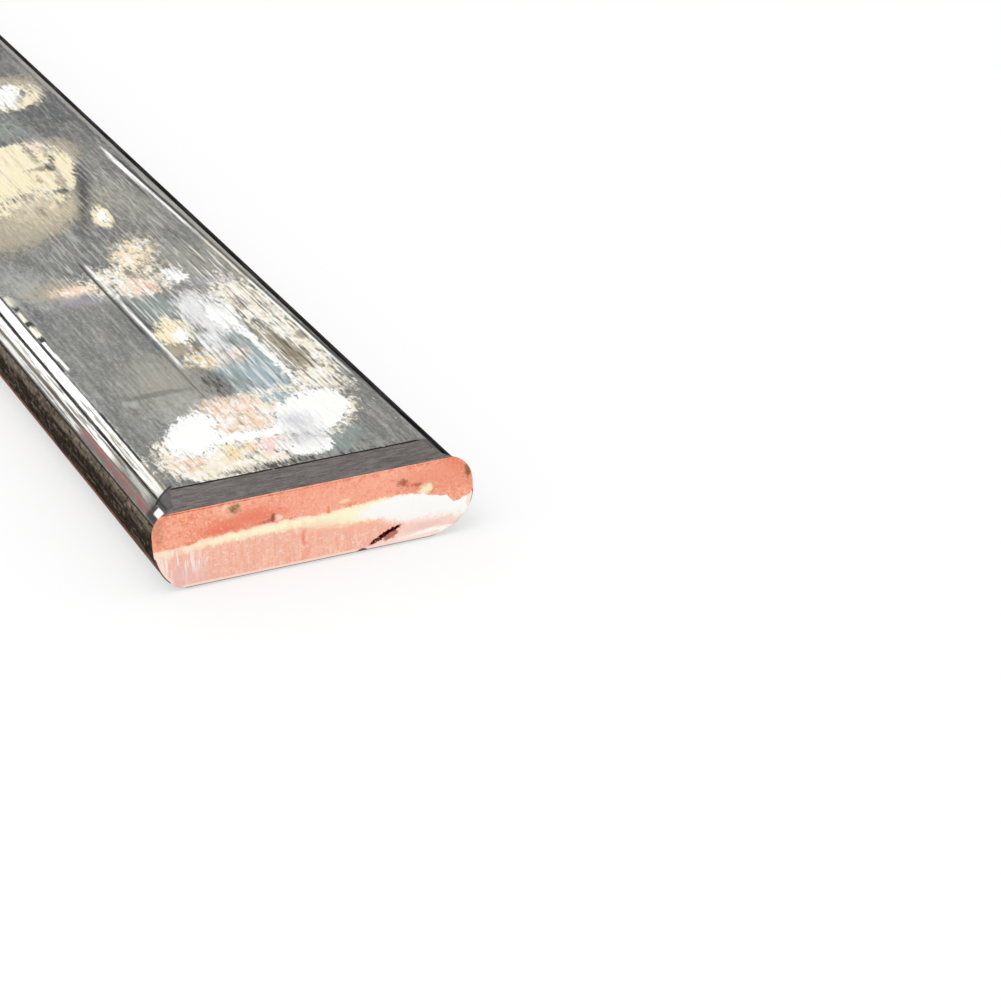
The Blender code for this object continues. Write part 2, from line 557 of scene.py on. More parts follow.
def in_oval(first, second, middle, half, turn=0.0):
    """A place in a turned oval's own two coordinates, which are 1 at its border."""
    cosine, sine = math.cos(math.radians(turn)), math.sin(math.radians(turn))
    first, second = first - middle[0], second - middle[1]
    return (first * cosine + second * sine) / half[0], (second * cosine - first * sine) / half[1]


def hollow(along, across):
    """A round hollow: 1 deep in the middle of an oval, 0 on its border."""
    return math.sqrt(max(0.0, 1 - along * along - across * across))


def dented(depth, y, z, dents):
    """A depth behind the cut plane, with soft dents added."""
    for middle_y, middle_z, half_y, half_z, dent in dents:
        reach = math.hypot((y - middle_y) / half_y, (z - middle_z) / half_z)
        depth += dent * ease(1.3 - reach)
    return depth


def tear_depth(y, z):
    """Depth of the tear, and how far the flap below it is lifted."""
    y += 0.16 * wander(y * 2.1, z * 2.1, 11.0)
    z += 0.22 * wander(y * 2.4, z * 2.4, 17.0)
    lobe = TEAR_LOBE_DEPTH * hollow(*in_oval(y, z, TEAR_LOBE, TEAR_LOBE_HALF, TEAR_TILT))
    along, across = in_oval(y, z, TEAR_MIDDLE, TEAR_HALF, TEAR_TILT)
    flap = ease(1 - abs(along)) * ease((2.6 - abs(across + 2.8)) / 2.0)
    return max(lobe, TEAR_DEPTH * hollow(along, across)), flap


def cut_depth(y, z):
    """How far the face lies behind the cut plane, in millimetres."""
    over = z - break_height(y)
    broken = broken_share(over)
    rough = 0.035 * wander(y * 1.1, z * 1.1, 2.0) + 0.03 * wander(y * 3.7, z * 3.7, 5.0)
    rough += 0.018 * wander(y * 7.9, z * 7.9, 9.0)
    back = BREAK_STEP + (z - BREAK_LOWEST) * BREAK_LEAN + rough
    scratches = 0.012 * wander(y * 2.6, z * 0.12, 1.0) + 0.008 * wander(y * 6.8, z * 0.3, 4.0)
    roll = ROLL_DEPTH * math.exp(-max(0.0, -over) / ROLL_REACH)
    back = dented(back, y, z, PITS)
    smooth = dented(0.05 + scratches + roll, y, z, NICKS)
    torn, flap = tear_depth(y, z)
    smooth = smooth * (1 - 0.9 * flap) + torn
    return max(0.0, broken * back + (1 - broken) * smooth)


print("depth in the middle of the tear, mm:", round(cut_depth(*TEAR_MIDDLE), 2))

# %% Push the points of the cut face back
RIM_SPACING = 0.04
RIM_BLEND = 0.35
# The share of its old place along the bar that a point keeps, so that no two fall together
RIM_KEPT = 0.03
outline = []
for edge in bar.edges:
    first, second = (vert.co for vert in edge.verts)
    if max(abs(point.x - (CUT_X - RIM_ROUND) * MM) for point in (first, second)) < 1e-6:
        pieces = max(1, round(edge.calc_length() / (RIM_SPACING * MM)))
        outline += [first.lerp(second, index / pieces) for index in range(pieces + 1)]
rim_tree = kdtree.KDTree(len(outline))
for index, point in enumerate(outline):
    rim_tree.insert((0.0, point.y, point.z), index)
rim_tree.balance()

over_break = bar.verts.layers.float.new("over_break")
from_rim = bar.verts.layers.float.new("from_rim")
deepest = 0.0
for vert in bar.verts:
    x, y, z = vert.co / MM
    back = x - CUT_X
    if back < -RIM_ROUND - 0.01:
        continue
    vert[over_break] = z - break_height(y)
    vert[from_rim] = rim_tree.find((0.0, vert.co.y, vert.co.z))[2] / MM
    inside_rim = ease((vert[from_rim] - RIM_ROUND) / RIM_BLEND)
    inner = max(broken_share(vert[over_break]), inside_rim)
    depth = cut_depth(y, z) * inner
    deepest = max(deepest, depth)
    if x > CUT_X - depth:
        vert.co.x = (CUT_X - depth + RIM_KEPT * back) * MM
print("deepest point behind the cut, mm:", round(deepest, 3))

# %% [markdown]
# ## Small irregularities of the tinned skin
# Dipped tin sets in soft waves, and drawn stock is never quite flat. Every point of the skin
# is moved inwards by a few hundredths of a millimetre, so that reflections bend a little. The
# waves are long where the rings are far apart. The land gets the fine marks of the hold-down.

# %% Waves in the skin
WAVE_DEPTH = 0.03
WAVE_FADE = 4.0
MARK_DEPTH = 0.012
bar.normal_update()
pressed = {vert for face in land for vert in face.verts}
moved = 0
for vert in bar.verts:
    x, y, z = vert.co / MM
    back = x - CUT_X
    if back > -LIP_LENGTH or back < -LENGTH + 0.001 or vert in pressed:
        continue
    fade = ease((-back - LIP_LENGTH) / WAVE_FADE)
    wave = 0.5 + 0.5 * wander(x / 41.0, y / 6.0, z / 6.0)
    vert.co -= vert.normal * WAVE_DEPTH * MM * wave * fade
    moved += 1
for vert in sorted(pressed, key=lambda v: v.index):
    x, y, z = vert.co / MM
    if all(face.material_index == PRESSED for face in vert.link_faces):
        vert.co.z -= MARK_DEPTH * MM * (0.5 + 0.5 * wander(x * 2.3, y * 0.4, 6.0))
print("points moved:", moved)

# %% [markdown]
# ## Turn the mesh into an object
# Doubles are merged and the faces are turned outwards once more. Angles over 24 degrees stay
# sharp. The land's fold is shallower than that, so its edges are marked sharp one by one.

# %% Make the bar's object
SHARP_ANGLE = math.radians(24.0)
bmesh.ops.remove_doubles(bar, verts=bar.verts, dist=1e-8)
bmesh.ops.recalc_face_normals(bar, faces=bar.faces)
bmesh.ops.triangulate(bar, faces=[face for face in bar.faces if len(face.verts) > 4])
open_edges = sum(1 for edge in bar.edges if len(edge.link_faces) != 2)
bar.edges.index_update()
fold = []
for edge in bar.edges:
    finishes = {face.material_index for face in edge.link_faces}
    if PRESSED in finishes and len(finishes) > 1:
        fold.append(edge.index)
mesh = bpy.data.meshes.new("tinned_bar")
bar.to_mesh(mesh)
bar.free()
tinned_bar = add_object("tinned_bar", mesh)
mesh.shade_smooth()
mesh.set_sharp_from_angle(angle=SHARP_ANGLE)
for index in fold:
    mesh.edges[index].use_edge_sharp = True
triangles = sum(len(face.vertices) - 2 for face in mesh.polygons)
print("bar:", triangles, "triangles, open edges:", open_edges)

# %% [markdown]
# ## Helpers for materials
# A finish is a small network of nodes. These helpers each add one kind of node and return its
# output, so that a finish reads like a recipe. A value given to them is either a number or the
# output of another node. All of them add to `tree`, the network that is being written. Each
# finish sets it anew.

# %% Helpers: numbers and colours
def wire(socket, value):
    """Gives a socket its value: a link for another node's output, else a number or colour."""
    if isinstance(value, bpy.types.NodeSocket):
        tree.links.new(value, socket)
    else:
        socket.default_value = value


def calc(operation, first, second=0.0, third=0.0):
    """One step of arithmetic."""
    node = tree.nodes.new("ShaderNodeMath")
    node.operation = operation
    for socket, value in zip(node.inputs, (first, second, third)):
        wire(socket, value)
    return node.outputs[0]


def rise(value, start, end, low_out=0.0, high_out=1.0):
    """A smooth change between two outputs while the value goes from start to end."""
    node = tree.nodes.new("ShaderNodeMapRange")
    node.interpolation_type = "SMOOTHSTEP"
    for name, number in (
        ("Value", value), ("From Min", start), ("From Max", end),
        ("To Min", low_out), ("To Max", high_out),
    ):
        wire(node.inputs[name], number)
    return node.outputs[0]


def band(value, start, end, soft):
    """1 between start and end, with soft sides."""
    up = rise(value, start - soft, start + soft)
    down = rise(value, end - soft, end + soft, 1.0, 0.0)
    return calc("MULTIPLY", up, down)


def span(value, start, end, soft):
    """As band, but without a first side where it starts at the bar's far end."""
    if start > FAR_END:
        return band(value, start, end, soft)
    return rise(value, end - soft, end + soft, 1.0, 0.0)


def both(first, *others):
    """The product of two or more values: where all of them are high."""
    for other in others:
        first = calc("MULTIPLY", first, other)
    return first


def paint(factor, under, over):
    """One colour over another, as thickly as the factor says."""
    node = tree.nodes.new("ShaderNodeMix")
    node.data_type = "RGBA"
    for index, value in ((0, factor), (6, under), (7, over)):
        wire(node.inputs[index], value)
    return node.outputs[2]


def lay(colour, over, *masks):
    """Paints over a colour where all of these masks are high."""
    return paint(both(*masks), colour, over)


def tint(colour, over, value, start, end, cover):
    """Paints over a colour where a value goes from start to end, covering at most this much."""
    return lay(colour, over, rise(value, start, end), cover)


def seen(red, green, blue):
    """A colour as a screen shows it, 0 to 255, turned into the light values of a shader."""
    values = []
    for part in (red, green, blue):
        part /= 255
        values.append(part / 12.92 if part <= 0.04045 else ((part + 0.055) / 1.055) ** 2.4)
    return (*values, 1.0)


print("mid grey as light:", round(seen(125, 125, 125)[0], 3))

# %% Helpers: places and patterns
def places():
    """Object coordinates in millimetres, with x measured from the cut, and each by itself."""
    coordinates = tree.nodes.new("ShaderNodeTexCoord")
    mapping = tree.nodes.new("ShaderNodeMapping")
    mapping.inputs["Location"].default_value = (-CUT_X, 0.0, 0.0)
    mapping.inputs["Scale"].default_value = (1 / MM, 1 / MM, 1 / MM)
    tree.links.new(coordinates.outputs["Object"], mapping.inputs["Vector"])
    parts = tree.nodes.new("ShaderNodeSeparateXYZ")
    tree.links.new(mapping.outputs[0], parts.inputs[0])
    return mapping.outputs[0], *parts.outputs


def grain(place, size, start=0.0, detail=3.0, roughness=0.6):
    """Noise whose spots have about this size in millimetres, along, across and up."""
    mapping = tree.nodes.new("ShaderNodeMapping")
    mapping.inputs["Location"].default_value = (start, start, start)
    mapping.inputs["Scale"].default_value = [1 / length for length in size]
    tree.links.new(place, mapping.inputs["Vector"])
    node = tree.nodes.new("ShaderNodeTexNoise")
    node.inputs["Scale"].default_value = 1.0
    node.inputs["Detail"].default_value = detail
    node.inputs["Roughness"].default_value = roughness
    tree.links.new(mapping.outputs[0], node.inputs["Vector"])
    return node.outputs[0]


def centred(noise_value):
    """The noise as a number that swings about 0, mostly within 1 each way."""
    return calc("MULTIPLY_ADD", noise_value, 5.0, -2.5)


def pulled(value, noise_value, reach):
    """A coordinate that a centred noise pulls to and fro."""
    return calc("MULTIPLY_ADD", noise_value, reach, value)


print("places are read in millimetres, 1 mm =", MM, "m")

# %% Helpers: ovals, stored numbers and the shader
def blot(spot, centre, half, turn=0.0, soft=0.15, torn=0.0, by=0.0):
    """A soft oval in two coordinates. A noise may tear its rim.

    It is worked out with plain numbers: Cycles has no room for very many vectors at once.
    """
    cosine, sine = math.cos(math.radians(turn)), math.sin(math.radians(turn))
    squares = 0.0
    for first, second in (
        (cosine / half[0], sine / half[0]), (-sine / half[1], cosine / half[1])
    ):
        start = -(centre[0] * first + centre[1] * second)
        inner = calc("MULTIPLY_ADD", spot[0], first, start)
        inner = calc("MULTIPLY_ADD", spot[1], second, inner)
        squares = calc("MULTIPLY_ADD", inner, inner, squares)
    reach = calc("SQRT", squares)
    if by:
        reach = calc("MULTIPLY_ADD", torn, by, reach)
    return rise(reach, 1 - soft, 1 + soft, 1.0, 0.0)


def stored(name):
    """A number that the mesh keeps at its points."""
    node = tree.nodes.new("ShaderNodeAttribute")
    node.attribute_name = name
    return node.outputs["Fac"]


def new_metal(name, edge_tint):
    """A metal. Its reflection near grazing angles is dimmed by the edge tint."""
    material = bpy.data.materials.new(name)
    material.use_nodes = True
    tree = material.node_tree
    shader = tree.nodes["Principled BSDF"]
    shader.inputs["Metallic"].default_value = 1.0
    shader.inputs["Specular Tint"].default_value = (edge_tint, edge_tint, edge_tint, 1.0)
    return material, tree, shader


def plug(shader, colour, roughness, relief, strength, depth=0.04):
    """Joins a finish to its shader: its colour, its gloss, and a relief of this depth."""
    node = tree.nodes.new("ShaderNodeBump")
    node.inputs["Distance"].default_value = depth * MM
    for socket, value in (
        (shader.inputs["Base Color"], colour), (shader.inputs["Roughness"], roughness),
        (node.inputs["Strength"], strength), (node.inputs["Height"], relief),
        (shader.inputs["Normal"], node.outputs[0]),
    ):
        wire(socket, value)


print("node helpers ready")

# %% [markdown]
# ## The tinned face
# Tin on a drawn bar is a dull grey mirror; its grey here is a painted reflection of dark
# surroundings.
# Long streaks follow the drawing direction. There are pale, yellow, peach and bluish patches:
# partly stains, where flux or water dried on it and where it was rubbed, and partly painted
# reflections; the white ones are painted glare. Each patch is a soft oval on the top face. One
# noise pulls its border about, and another tears it into streaks that run along the bar.

# %% Colours of the tin
# Each: the colour, how much it covers, and how soft its border is. A colour that covers less
# than GLAZE_BELOW is a glaze: it leaves the paints under it in place.
GLAZE_BELOW = 0.8
# The white paint is painted glare; the other pale and coloured paints are partly stains and partly
# painted reflections.
TIN_PAINTS = {
    "haze": (seen(166, 163, 150), 0.79, 1.3),
    "pale_grey": (seen(190, 191, 184), 0.5, 1.2),
    "dusk": (seen(88, 91, 91), 0.85, 0.6),
    "slate": (seen(138, 149, 144), 0.9, 0.9),
    "teal": (seen(162, 184, 190), 0.92, 0.9),
    "tan": (seen(172, 161, 137), 0.92, 0.9),
    "sand": (seen(214, 201, 169), 0.92, 1.2),
    "cream": (seen(250, 240, 218), 0.95, 0.6),
    "yellow": (seen(246, 234, 197), 1.0, 0.5),
    "amber": (seen(255, 230, 182), 0.95, 0.9),
    "peach": (seen(252, 217, 188), 0.95, 0.9),
    "rose": (seen(255, 216, 206), 0.95, 0.9),
    "lilac": (seen(236, 235, 236), 0.92, 0.8),
    "white": (seen(255, 255, 252), 1.0, 0.4),
    "violet": (seen(164, 160, 174), 0.5, 1.3),
    "brown": (seen(120, 100, 76), 0.75, 0.8),
    "ink": (seen(40, 27, 18), 0.95, 0.7),
}
WHITE, TAN, YELLOW, CREAM, HAZE, PALE_GREY, BROWN, INK = (
    TIN_PAINTS[name][0]
    for name in ("white", "tan", "yellow", "cream", "haze", "pale_grey", "brown", "ink")
)
BLACK = (0.0, 0.0, 0.0, 1.0)
print("tin colours:", len(TIN_PAINTS))

# %% Patches on the top, from far to near
# Each: paint, middle along and across, half sizes, turn in degrees, how torn its border is
PATCHES = (
    ("tan", -159, 10.5, 8, 4.8, -18, 0.3),
    ("yellow", -156, 10, 6.4, 4.2, -20, 0.3),
    ("white", -157, 8.8, 5.4, 2.8, -15, 0.7),
    ("tan", -159.5, 13.2, 3.6, 0.9, -12, 0.9),
    ("brown", -154, 10.3, 2.6, 0.5, -10, 0.6),
    ("ink", -157.5, 11.8, 2, 0.4, -10, 0.6),
    ("ink", -150.5, 11.2, 2.4, 0.5, -40, 0.5),
    ("slate", -142, 3.4, 5, 2.6, 0, 1.6),
    ("dusk", -107, 3.3, 14.5, 4.1, -17, 0.2),
    ("tan", -102, -5.5, 12.5, 7.4, -30, 0.25),
    ("tan", -128.5, 8.8, 5.6, 2.8, 0, 0.4),
    ("yellow", -118, -0.4, 17, 8.3, -20, 0.06),
    ("tan", -99, -5.5, 9, 5.5, -35, 0.3),
    ("tan", -129.6, 7.8, 3.2, 1.8, -8, 1.3),
    ("peach", -131, 5.6, 2.2, 1, 0, 1.2),
    ("brown", -129, 4.4, 4.5, 0.6, 0, 0.9),
    ("brown", -128, 6.6, 3.4, 0.35, -4, 0.8),
    ("ink", -118, 7.9, 3, 0.3, -16, 0.9),
    ("brown", -110, -1.4, 2.6, 0.5, 0, 1),
    ("brown", -114, 4.8, 5, 0.6, -8, 0.9),
    ("ink", -121.6, 5.3, 1.8, 0.8, 0, 0.5),
    ("brown", -121.2, 3.4, 0.9, 2, 0, 0.5),
    ("ink", -110.8, 3.9, 1.3, 0.9, -10, 0.4),
    ("ink", -125, 6.6, 2.2, 0.35, -12, 0.7),
    ("brown", -117, 2.2, 2.4, 0.4, 0, 0.8),
    ("brown", -106.5, 2.4, 1.4, 0.5, -20, 0.7),
    ("sand", -106, -1.6, 7, 6.4, -30, 0.8),
    ("haze", -109, 0.5, 2.6, 3.4, 0, 0.7),
    ("ink", -108, 6.1, 12, 0.75, -17, 1.1),
    ("haze", -104, 11, 9, 2.6, 0, 1.6),
    ("brown", -103.6, -1.6, 1.8, 0.8, 0, 0.8),
    ("yellow", -97.8, 5.6, 4.8, 1.5, -9, 0.25),
    ("white", -98, 5.7, 3, 0.7, -9, 0.5),
    ("amber", -82, 5, 5, 2.4, -20, 0.8),
    ("cream", -80, 3.6, 3.4, 1.6, -15, 0.9),
    ("haze", -73, 12.2, 8, 3.6, 0, 0.7),
    ("pale_grey", -75.5, -12, 6, 2.8, 0, 0.9),
    ("cream", -72.5, 1, 5.4, 5.6, 0, 0.5),
    ("tan", -74, 3, 4.2, 3.8, 0, 0.9),
    ("peach", -69.5, 2, 2.6, 2, 0, 1),
    ("tan", -71.5, -2.4, 3.4, 1.6, 0, 0.9),
    ("tan", -72.8, -8.2, 3.2, 4, 0, 0.5),
    ("peach", -71.8, -7, 1.7, 2.6, 0, 0.6),
    ("violet", -68.3, -7, 1.9, 3.6, 0, 0.5),
    ("violet", -67.4, 11, 1.2, 3.6, 0, 0.3),
    ("white", -71.5, 7.6, 2.9, 1.5, 0, 0.5),
    ("tan", -46, 12.8, 21, 3.5, 0, 0.3),
    ("cream", -58, 12.6, 9, 3.4, 0, 0.6),
    ("cream", -45, 14.6, 14, 1.3, 0, 0.8),
    ("cream", -29, 11.8, 4.8, 3, 0, 0.7),
    ("haze", -39, 12.4, 5.5, 1.7, 0, 0.3),
    ("brown", -58.3, 12.2, 2.2, 1, 0, 0.7),
    ("brown", -38, 12, 2, 0.8, 0, 0.9),
    ("brown", -44, 15.2, 1.4, 0.8, 0, 0.5),
    ("lilac", -56.8, 6.8, 8, 3.4, 0, 0.4),
    ("white", -55.5, 8.2, 6.2, 1.7, 0, 0.5),
    ("haze", -58.6, 7, 1.6, 2, 0, 0.5),
    ("slate", -61.5, 0.8, 5.4, 3, 0, 0.3),
    ("teal", -37.5, 5.2, 11.8, 4, 0, 0.35),
    ("slate", -47, 7, 3, 1.5, 0, 0.8),
    ("slate", -33, 2.6, 6, 1.4, 0, 0.9),
    ("white", -42, 9.1, 13, 0.6, 0, 0.5),
    ("lilac", -45.5, 4.2, 3.8, 1.6, 0, 1),
    ("peach", -41.6, 5.4, 2.2, 1.3, -20, 1.2),
    ("haze", -37, -5.5, 8, 4.4, -10, 0.5),
    ("yellow", -52.4, 0.5, 4.7, 2.5, -10, 0.5),
    ("white", -50.6, 1.2, 2.6, 0.9, -8, 0.8),
    ("tan", -54, -0.6, 2, 0.5, -30, 0.8),
    ("tan", -46.2, -0.4, 2.5, 2, 0, 0.4),
    ("amber", -41.6, 0.9, 3, 2.1, 0, 0.6),
    ("yellow", -41.4, 1.2, 1.4, 0.9, 0, 0.8),
    ("haze", -34, -2.6, 5, 2.4, 0, 0.8),
    ("ink", -33.4, -0.3, 2.6, 0.8, 0, 2.4),
)
print("patches:", len(PATCHES))

# %% The large pale patch near the cut
# The white lobes of this patch are painted glare.
CUT_PATCHES = (
    ("pale_grey", -26.5, -5.5, 4, 4, 0, 0.8),
    ("slate", -11.5, 8.2, 4.6, 2.4, -30, 0.5),
    ("cream", -19, 11.6, 3.4, 1.2, -28, 0.5),
    ("cream", -18, -0.8, 15.2, 9.2, -57, 0.16),
    ("cream", -9.4, -8.2, 3.2, 5.4, 0, 0.15),
    ("white", -20.2, 7.5, 7.2, 4.5, -32, 0.12),
    ("white", -19.6, -8, 7, 3.4, -26, 0.3),
    ("white", -11, 3.4, 3.2, 3.1, -25, 0.2),
    ("white", -16.6, -1, 1.4, 9, 0, 0.4),
    ("peach", -26, -1.2, 3.2, 3.6, -20, 0.5),
    ("teal", -26.4, 5, 2.4, 3.2, 0, 0.8),
    ("peach", -19.8, 0.2, 2.2, 2.3, 0, 0.6),
    ("peach", -19.8, -4.2, 1.8, 1.4, 0, 0.7),
    ("rose", -13, -0.4, 2.4, 2, 0, 0.7),
    ("amber", -12.8, -4.6, 2.5, 2, 0, 0.7),
    ("peach", -12.4, -11.2, 2.6, 1.8, 0, 0.7),
    ("violet", -18.2, 4.6, 2.4, 1.7, 0, 0.8),
    ("violet", -13.4, 4.2, 1.9, 2.2, 0, 0.8),
    ("pale_grey", -8, 2, 1.2, 8, 0, 0.6),
    ("ink", -7.3, -0.8, 0.7, 4.4, 0, 2.2),
    ("pale_grey", -32.2, -12, 1.4, 0.8, 20, 0.5),
)
# Where thin light and dark lines run along the bar: middle, half sizes, strength
LINED = (
    (-18, -1, 12, 13, 0.16),
    (-25.5, -1.2, 4.5, 5, 0.32),
    (-20, -1, 4, 4.5, 0.32),
    (-12.5, -2, 3.5, 6.5, 0.3),
    (-13, -11.2, 3.5, 2.6, 0.3),
    (-52, 0.6, 5, 2.8, 0.5),
    (-42, 1, 3.5, 2.4, 0.5),
    (-118, 0, 17, 9, 0.25),
    (-88, -1, 9, 6, 0.25),
    (-157, 10.5, 8, 5, 0.35),
    (-46, 12.9, 22, 3.6, 0.95),
    (-73, 12, 8.5, 4.4, 0.7),
    (-57, 6, 9, 4, 0.4),
    (-44.5, 4.2, 6, 3.4, 0.75),
    (-61, 0.6, 6, 3.2, 0.5),
    (-35, 5.4, 9, 4.4, 0.55),
    (-101, 9.5, 24, 5, 0.25),
    (-75, 0, 9, 9, 0.4),
    (-126, 4, 12, 8, 0.25),
    (-144, 7, 9, 5, 0.12),
)
LINED_ELSEWHERE = 0.07
print("patches near the cut:", len(CUT_PATCHES), "lined places:", len(LINED))

# %% Store the patches on the mesh
# A level is above 0 inside a patch and below 0 outside it. The finish tears it with a noise.
DEEPEST_LEVEL = 4.0
OVERLAP = 0.4
PATCHED_TO = -180.0


def patch_levels(x, y):
    """The level of each paint at one place on the top. A covering paint pushes others out."""
    levels = dict.fromkeys(TIN_PAINTS, -DEEPEST_LEVEL)
    for name, middle_x, middle_y, half_x, half_y, turn, tearing in PATCHES + CUT_PATCHES:
        reach = math.hypot(*in_oval(x, y, (middle_x, middle_y), (half_x, half_y), turn))
        level = (1 - reach) / tearing
        if level < -DEEPEST_LEVEL:
            continue
        level = min(level, DEEPEST_LEVEL)
        if TIN_PAINTS[name][1] >= GLAZE_BELOW:
            for other in levels:
                if other != name:
                    levels[other] = min(levels[other], OVERLAP - level)
        levels[name] = max(levels[name], level)
    return levels


def line_strength(x, y):
    """How strongly the thin lines show at one place on the top."""
    strengths = [LINED_ELSEWHERE]
    for middle_x, middle_y, half_x, half_y, strength in LINED:
        inner = 1 - math.hypot(*in_oval(x, y, (middle_x, middle_y), (half_x, half_y)))
        strengths.append(strength * ease(2 * inner + 0.5))
    return max(strengths)


levels = {name: [-DEEPEST_LEVEL] * len(mesh.vertices) for name in TIN_PAINTS}
levels["lined"] = [LINED_ELSEWHERE] * len(mesh.vertices)
painted = 0
for vert in mesh.vertices:
    x, y, z = vert.co / MM
    back = x - CUT_X
    if back < PATCHED_TO or z < THICKNESS / 2:
        continue
    painted += 1
    for name, level in patch_levels(back, y).items():
        levels[name][vert.index] = level
    levels["lined"][vert.index] = line_strength(back, y)
for name, values in levels.items():
    mesh.attributes.new(name, "FLOAT", "POINT").data.foreach_set("value", values)
print("points painted:", painted)

# %% Tinned face finish: noises
tin, tree, shader = new_metal("tinned_top", 0.9)
place, along, across_bar, height = places()

cloud = grain(place, (14.0, 6.0, 6.0), 3.0)
streaks = grain(place, (14.0, 0.7, 0.7), 0.0, 4.0, 0.65)
mottle = grain(place, (2.2, 0.5, 0.5), 7.0, 3.0, 0.65)
speckle = grain(place, (0.5, 0.4, 0.4), 5.0, 2.0, 0.6)
light_lines = grain(place, (9.0, 0.42, 0.42), 11.0, 2.0, 0.6)
flecks = grain(place, (1.3, 0.8, 0.8), 61.0, 2.0, 0.6)
dark_lines = grain(place, (7.0, 0.38, 0.38), 23.0, 2.0, 0.6)
torn_by = (
    centred(grain(place, (2.8, 0.5, 0.5), 31.0, 3.0, 0.7)),
    centred(grain(place, (1.6, 0.6, 0.6), 47.0, 3.0, 0.7)),
)
print("tin noises:", sum(1 for node in tree.nodes if node.type == "TEX_NOISE"))

# %% Base grey and patches
# The grey is a painted reflection of dark surroundings: lighter near the cut and darker away from
# it. It is also a little darker towards the right edge.
near = rise(along, -150.0, -62.0)
grey = paint(near, seen(64, 65, 64), seen(117, 118, 113))
grey = tint(grey, seen(142, 140, 132), cloud, 0.45, 0.65, 0.6)
grey = tint(grey, seen(84, 88, 89), cloud, 0.45, 0.30, 0.6)
grey = paint(rise(across_bar, 2.0, 15.0, 0.0, 0.12), grey, BLACK)


def shade(colour, noise_value, depth):
    """Darkens a colour where a noise is low, and lightens it where the noise is high."""
    colour = paint(rise(noise_value, 0.55, 0.3, 0.0, depth), colour, BLACK)
    return paint(rise(noise_value, 0.5, 0.72, 0.0, depth * 0.8), colour, WHITE)


for noise_value, depth in ((mottle, 0.15), (streaks, 0.16), (speckle, 0.09)):
    grey = shade(grey, noise_value, depth)

# Paints that are broken up by white and tan flecks
FLECKED = ("cream", "amber", "peach", "rose")
fleck_light = both(rise(flecks, 0.50, 0.57), 0.75)
fleck_dark = both(rise(flecks, 0.43, 0.35), 0.15)

on_top = rise(height, 9.3, 9.75)
top_colour = grey
for index, (name, (paint_colour, cover, soft)) in enumerate(TIN_PAINTS.items()):
    if name in FLECKED:
        paint_colour = paint(fleck_light, paint_colour, WHITE)
        paint_colour = paint(fleck_dark, paint_colour, TAN)
    level = calc("ADD", stored(name), torn_by[index % 2])
    top_colour = tint(top_colour, paint_colour, level, -soft, soft, cover)
colour = paint(on_top, grey, top_colour)
print("tin nodes so far:", len(tree.nodes))

# %% Patches on the rest of the bar
far_cloud = grain(place, (40.0, 18.0, 18.0), 1.0, 3.0, 0.55)
far_tint = grain(place, (22.0, 10.0, 10.0), 9.0, 2.0, 0.5)
edge = calc("MULTIPLY_ADD", torn_by[0], 0.012, far_cloud)
far_mask = rise(edge, 0.57, 0.60)
far_tone = paint(rise(far_tint, 0.45, 0.55), YELLOW, HAZE)
far_tone = tint(far_tone, TAN, mottle, 0.5, 0.62, 0.8)
photographed = both(on_top, rise(along, -185.0, -168.0))
elsewhere = calc("SUBTRACT", 1.0, photographed)
flat_faces = calc("ABSOLUTE", calc("SUBTRACT", height, THICKNESS / 2))
flat_faces = rise(flat_faces, 4.3, 4.75)
colour = lay(colour, far_tone, far_mask, elsewhere, flat_faces, 0.85)
print("far patches laid")

# %% Lines and streaks over everything
lined = stored("lined")
light = rise(light_lines, 0.52, 0.62)
dark = rise(dark_lines, 0.53, 0.64)
off_white = rise(stored("white"), 0.5, 2.0, 1.0, 0.3)
colour = lay(colour, WHITE, light, lined, 0.9)
colour = lay(colour, INK, dark, lined, off_white, 0.85)
for noise_value in (mottle, speckle):
    colour = shade(colour, noise_value, 0.04)
print("lines laid")

# %% [markdown]
# The roundings carry their own marks: bright stripes that are painted reflections of windows,
# with painted shade and dark painted reflection in the scores between them, and a dull brown
# side. They follow the angle round the edge, which a node works out from the height and the
# place across.

# %% The angle round an edge
def edge_angle(side):
    """Degrees round an edge from straight up, about the middle of the bar's side."""
    beyond = calc("MULTIPLY_ADD", across_bar, side, -FLAT_HALF)
    up = calc("SUBTRACT", height, THICKNESS / 2)
    return calc("MULTIPLY", calc("ARCTAN2", beyond, up), math.degrees(1.0))


def reading(angle):
    """What that node reads at a true angle round the rounding's own axis."""
    if angle < 0:
        return 0.9 * angle
    if angle > 90:
        return 180 - reading(180 - angle)
    up = THICKNESS / 2 - EDGE_RADIUS + EDGE_RADIUS * math.cos(math.radians(angle))
    return math.degrees(math.atan2(EDGE_RADIUS * math.sin(math.radians(angle)), up))


def arc(edge, start, end, soft):
    """1 between two true angles round an edge."""
    return band(edge, reading(start), reading(end), soft)


long_waves = centred(grain(place, (45.0, 9.0, 9.0), 2.0, 2.0, 0.5))
short_waves = centred(streaks)
sway = calc("MULTIPLY_ADD", long_waves, 0.7, both(short_waves, 0.45))
sway = calc("MULTIPLY_ADD", torn_by[1], 0.35, sway)
left = calc("ADD", edge_angle(-1.0), sway)
right = calc("ADD", edge_angle(1.0), sway)
print("28 degrees reads as", round(reading(28.0), 1))

# %% Stripes along the edges
SIDE_LIGHT = seen(130, 120, 115)
DEEP = seen(30, 27, 27)
SHADE_BLACK = seen(12, 10, 10)
FAR_END = -LENGTH
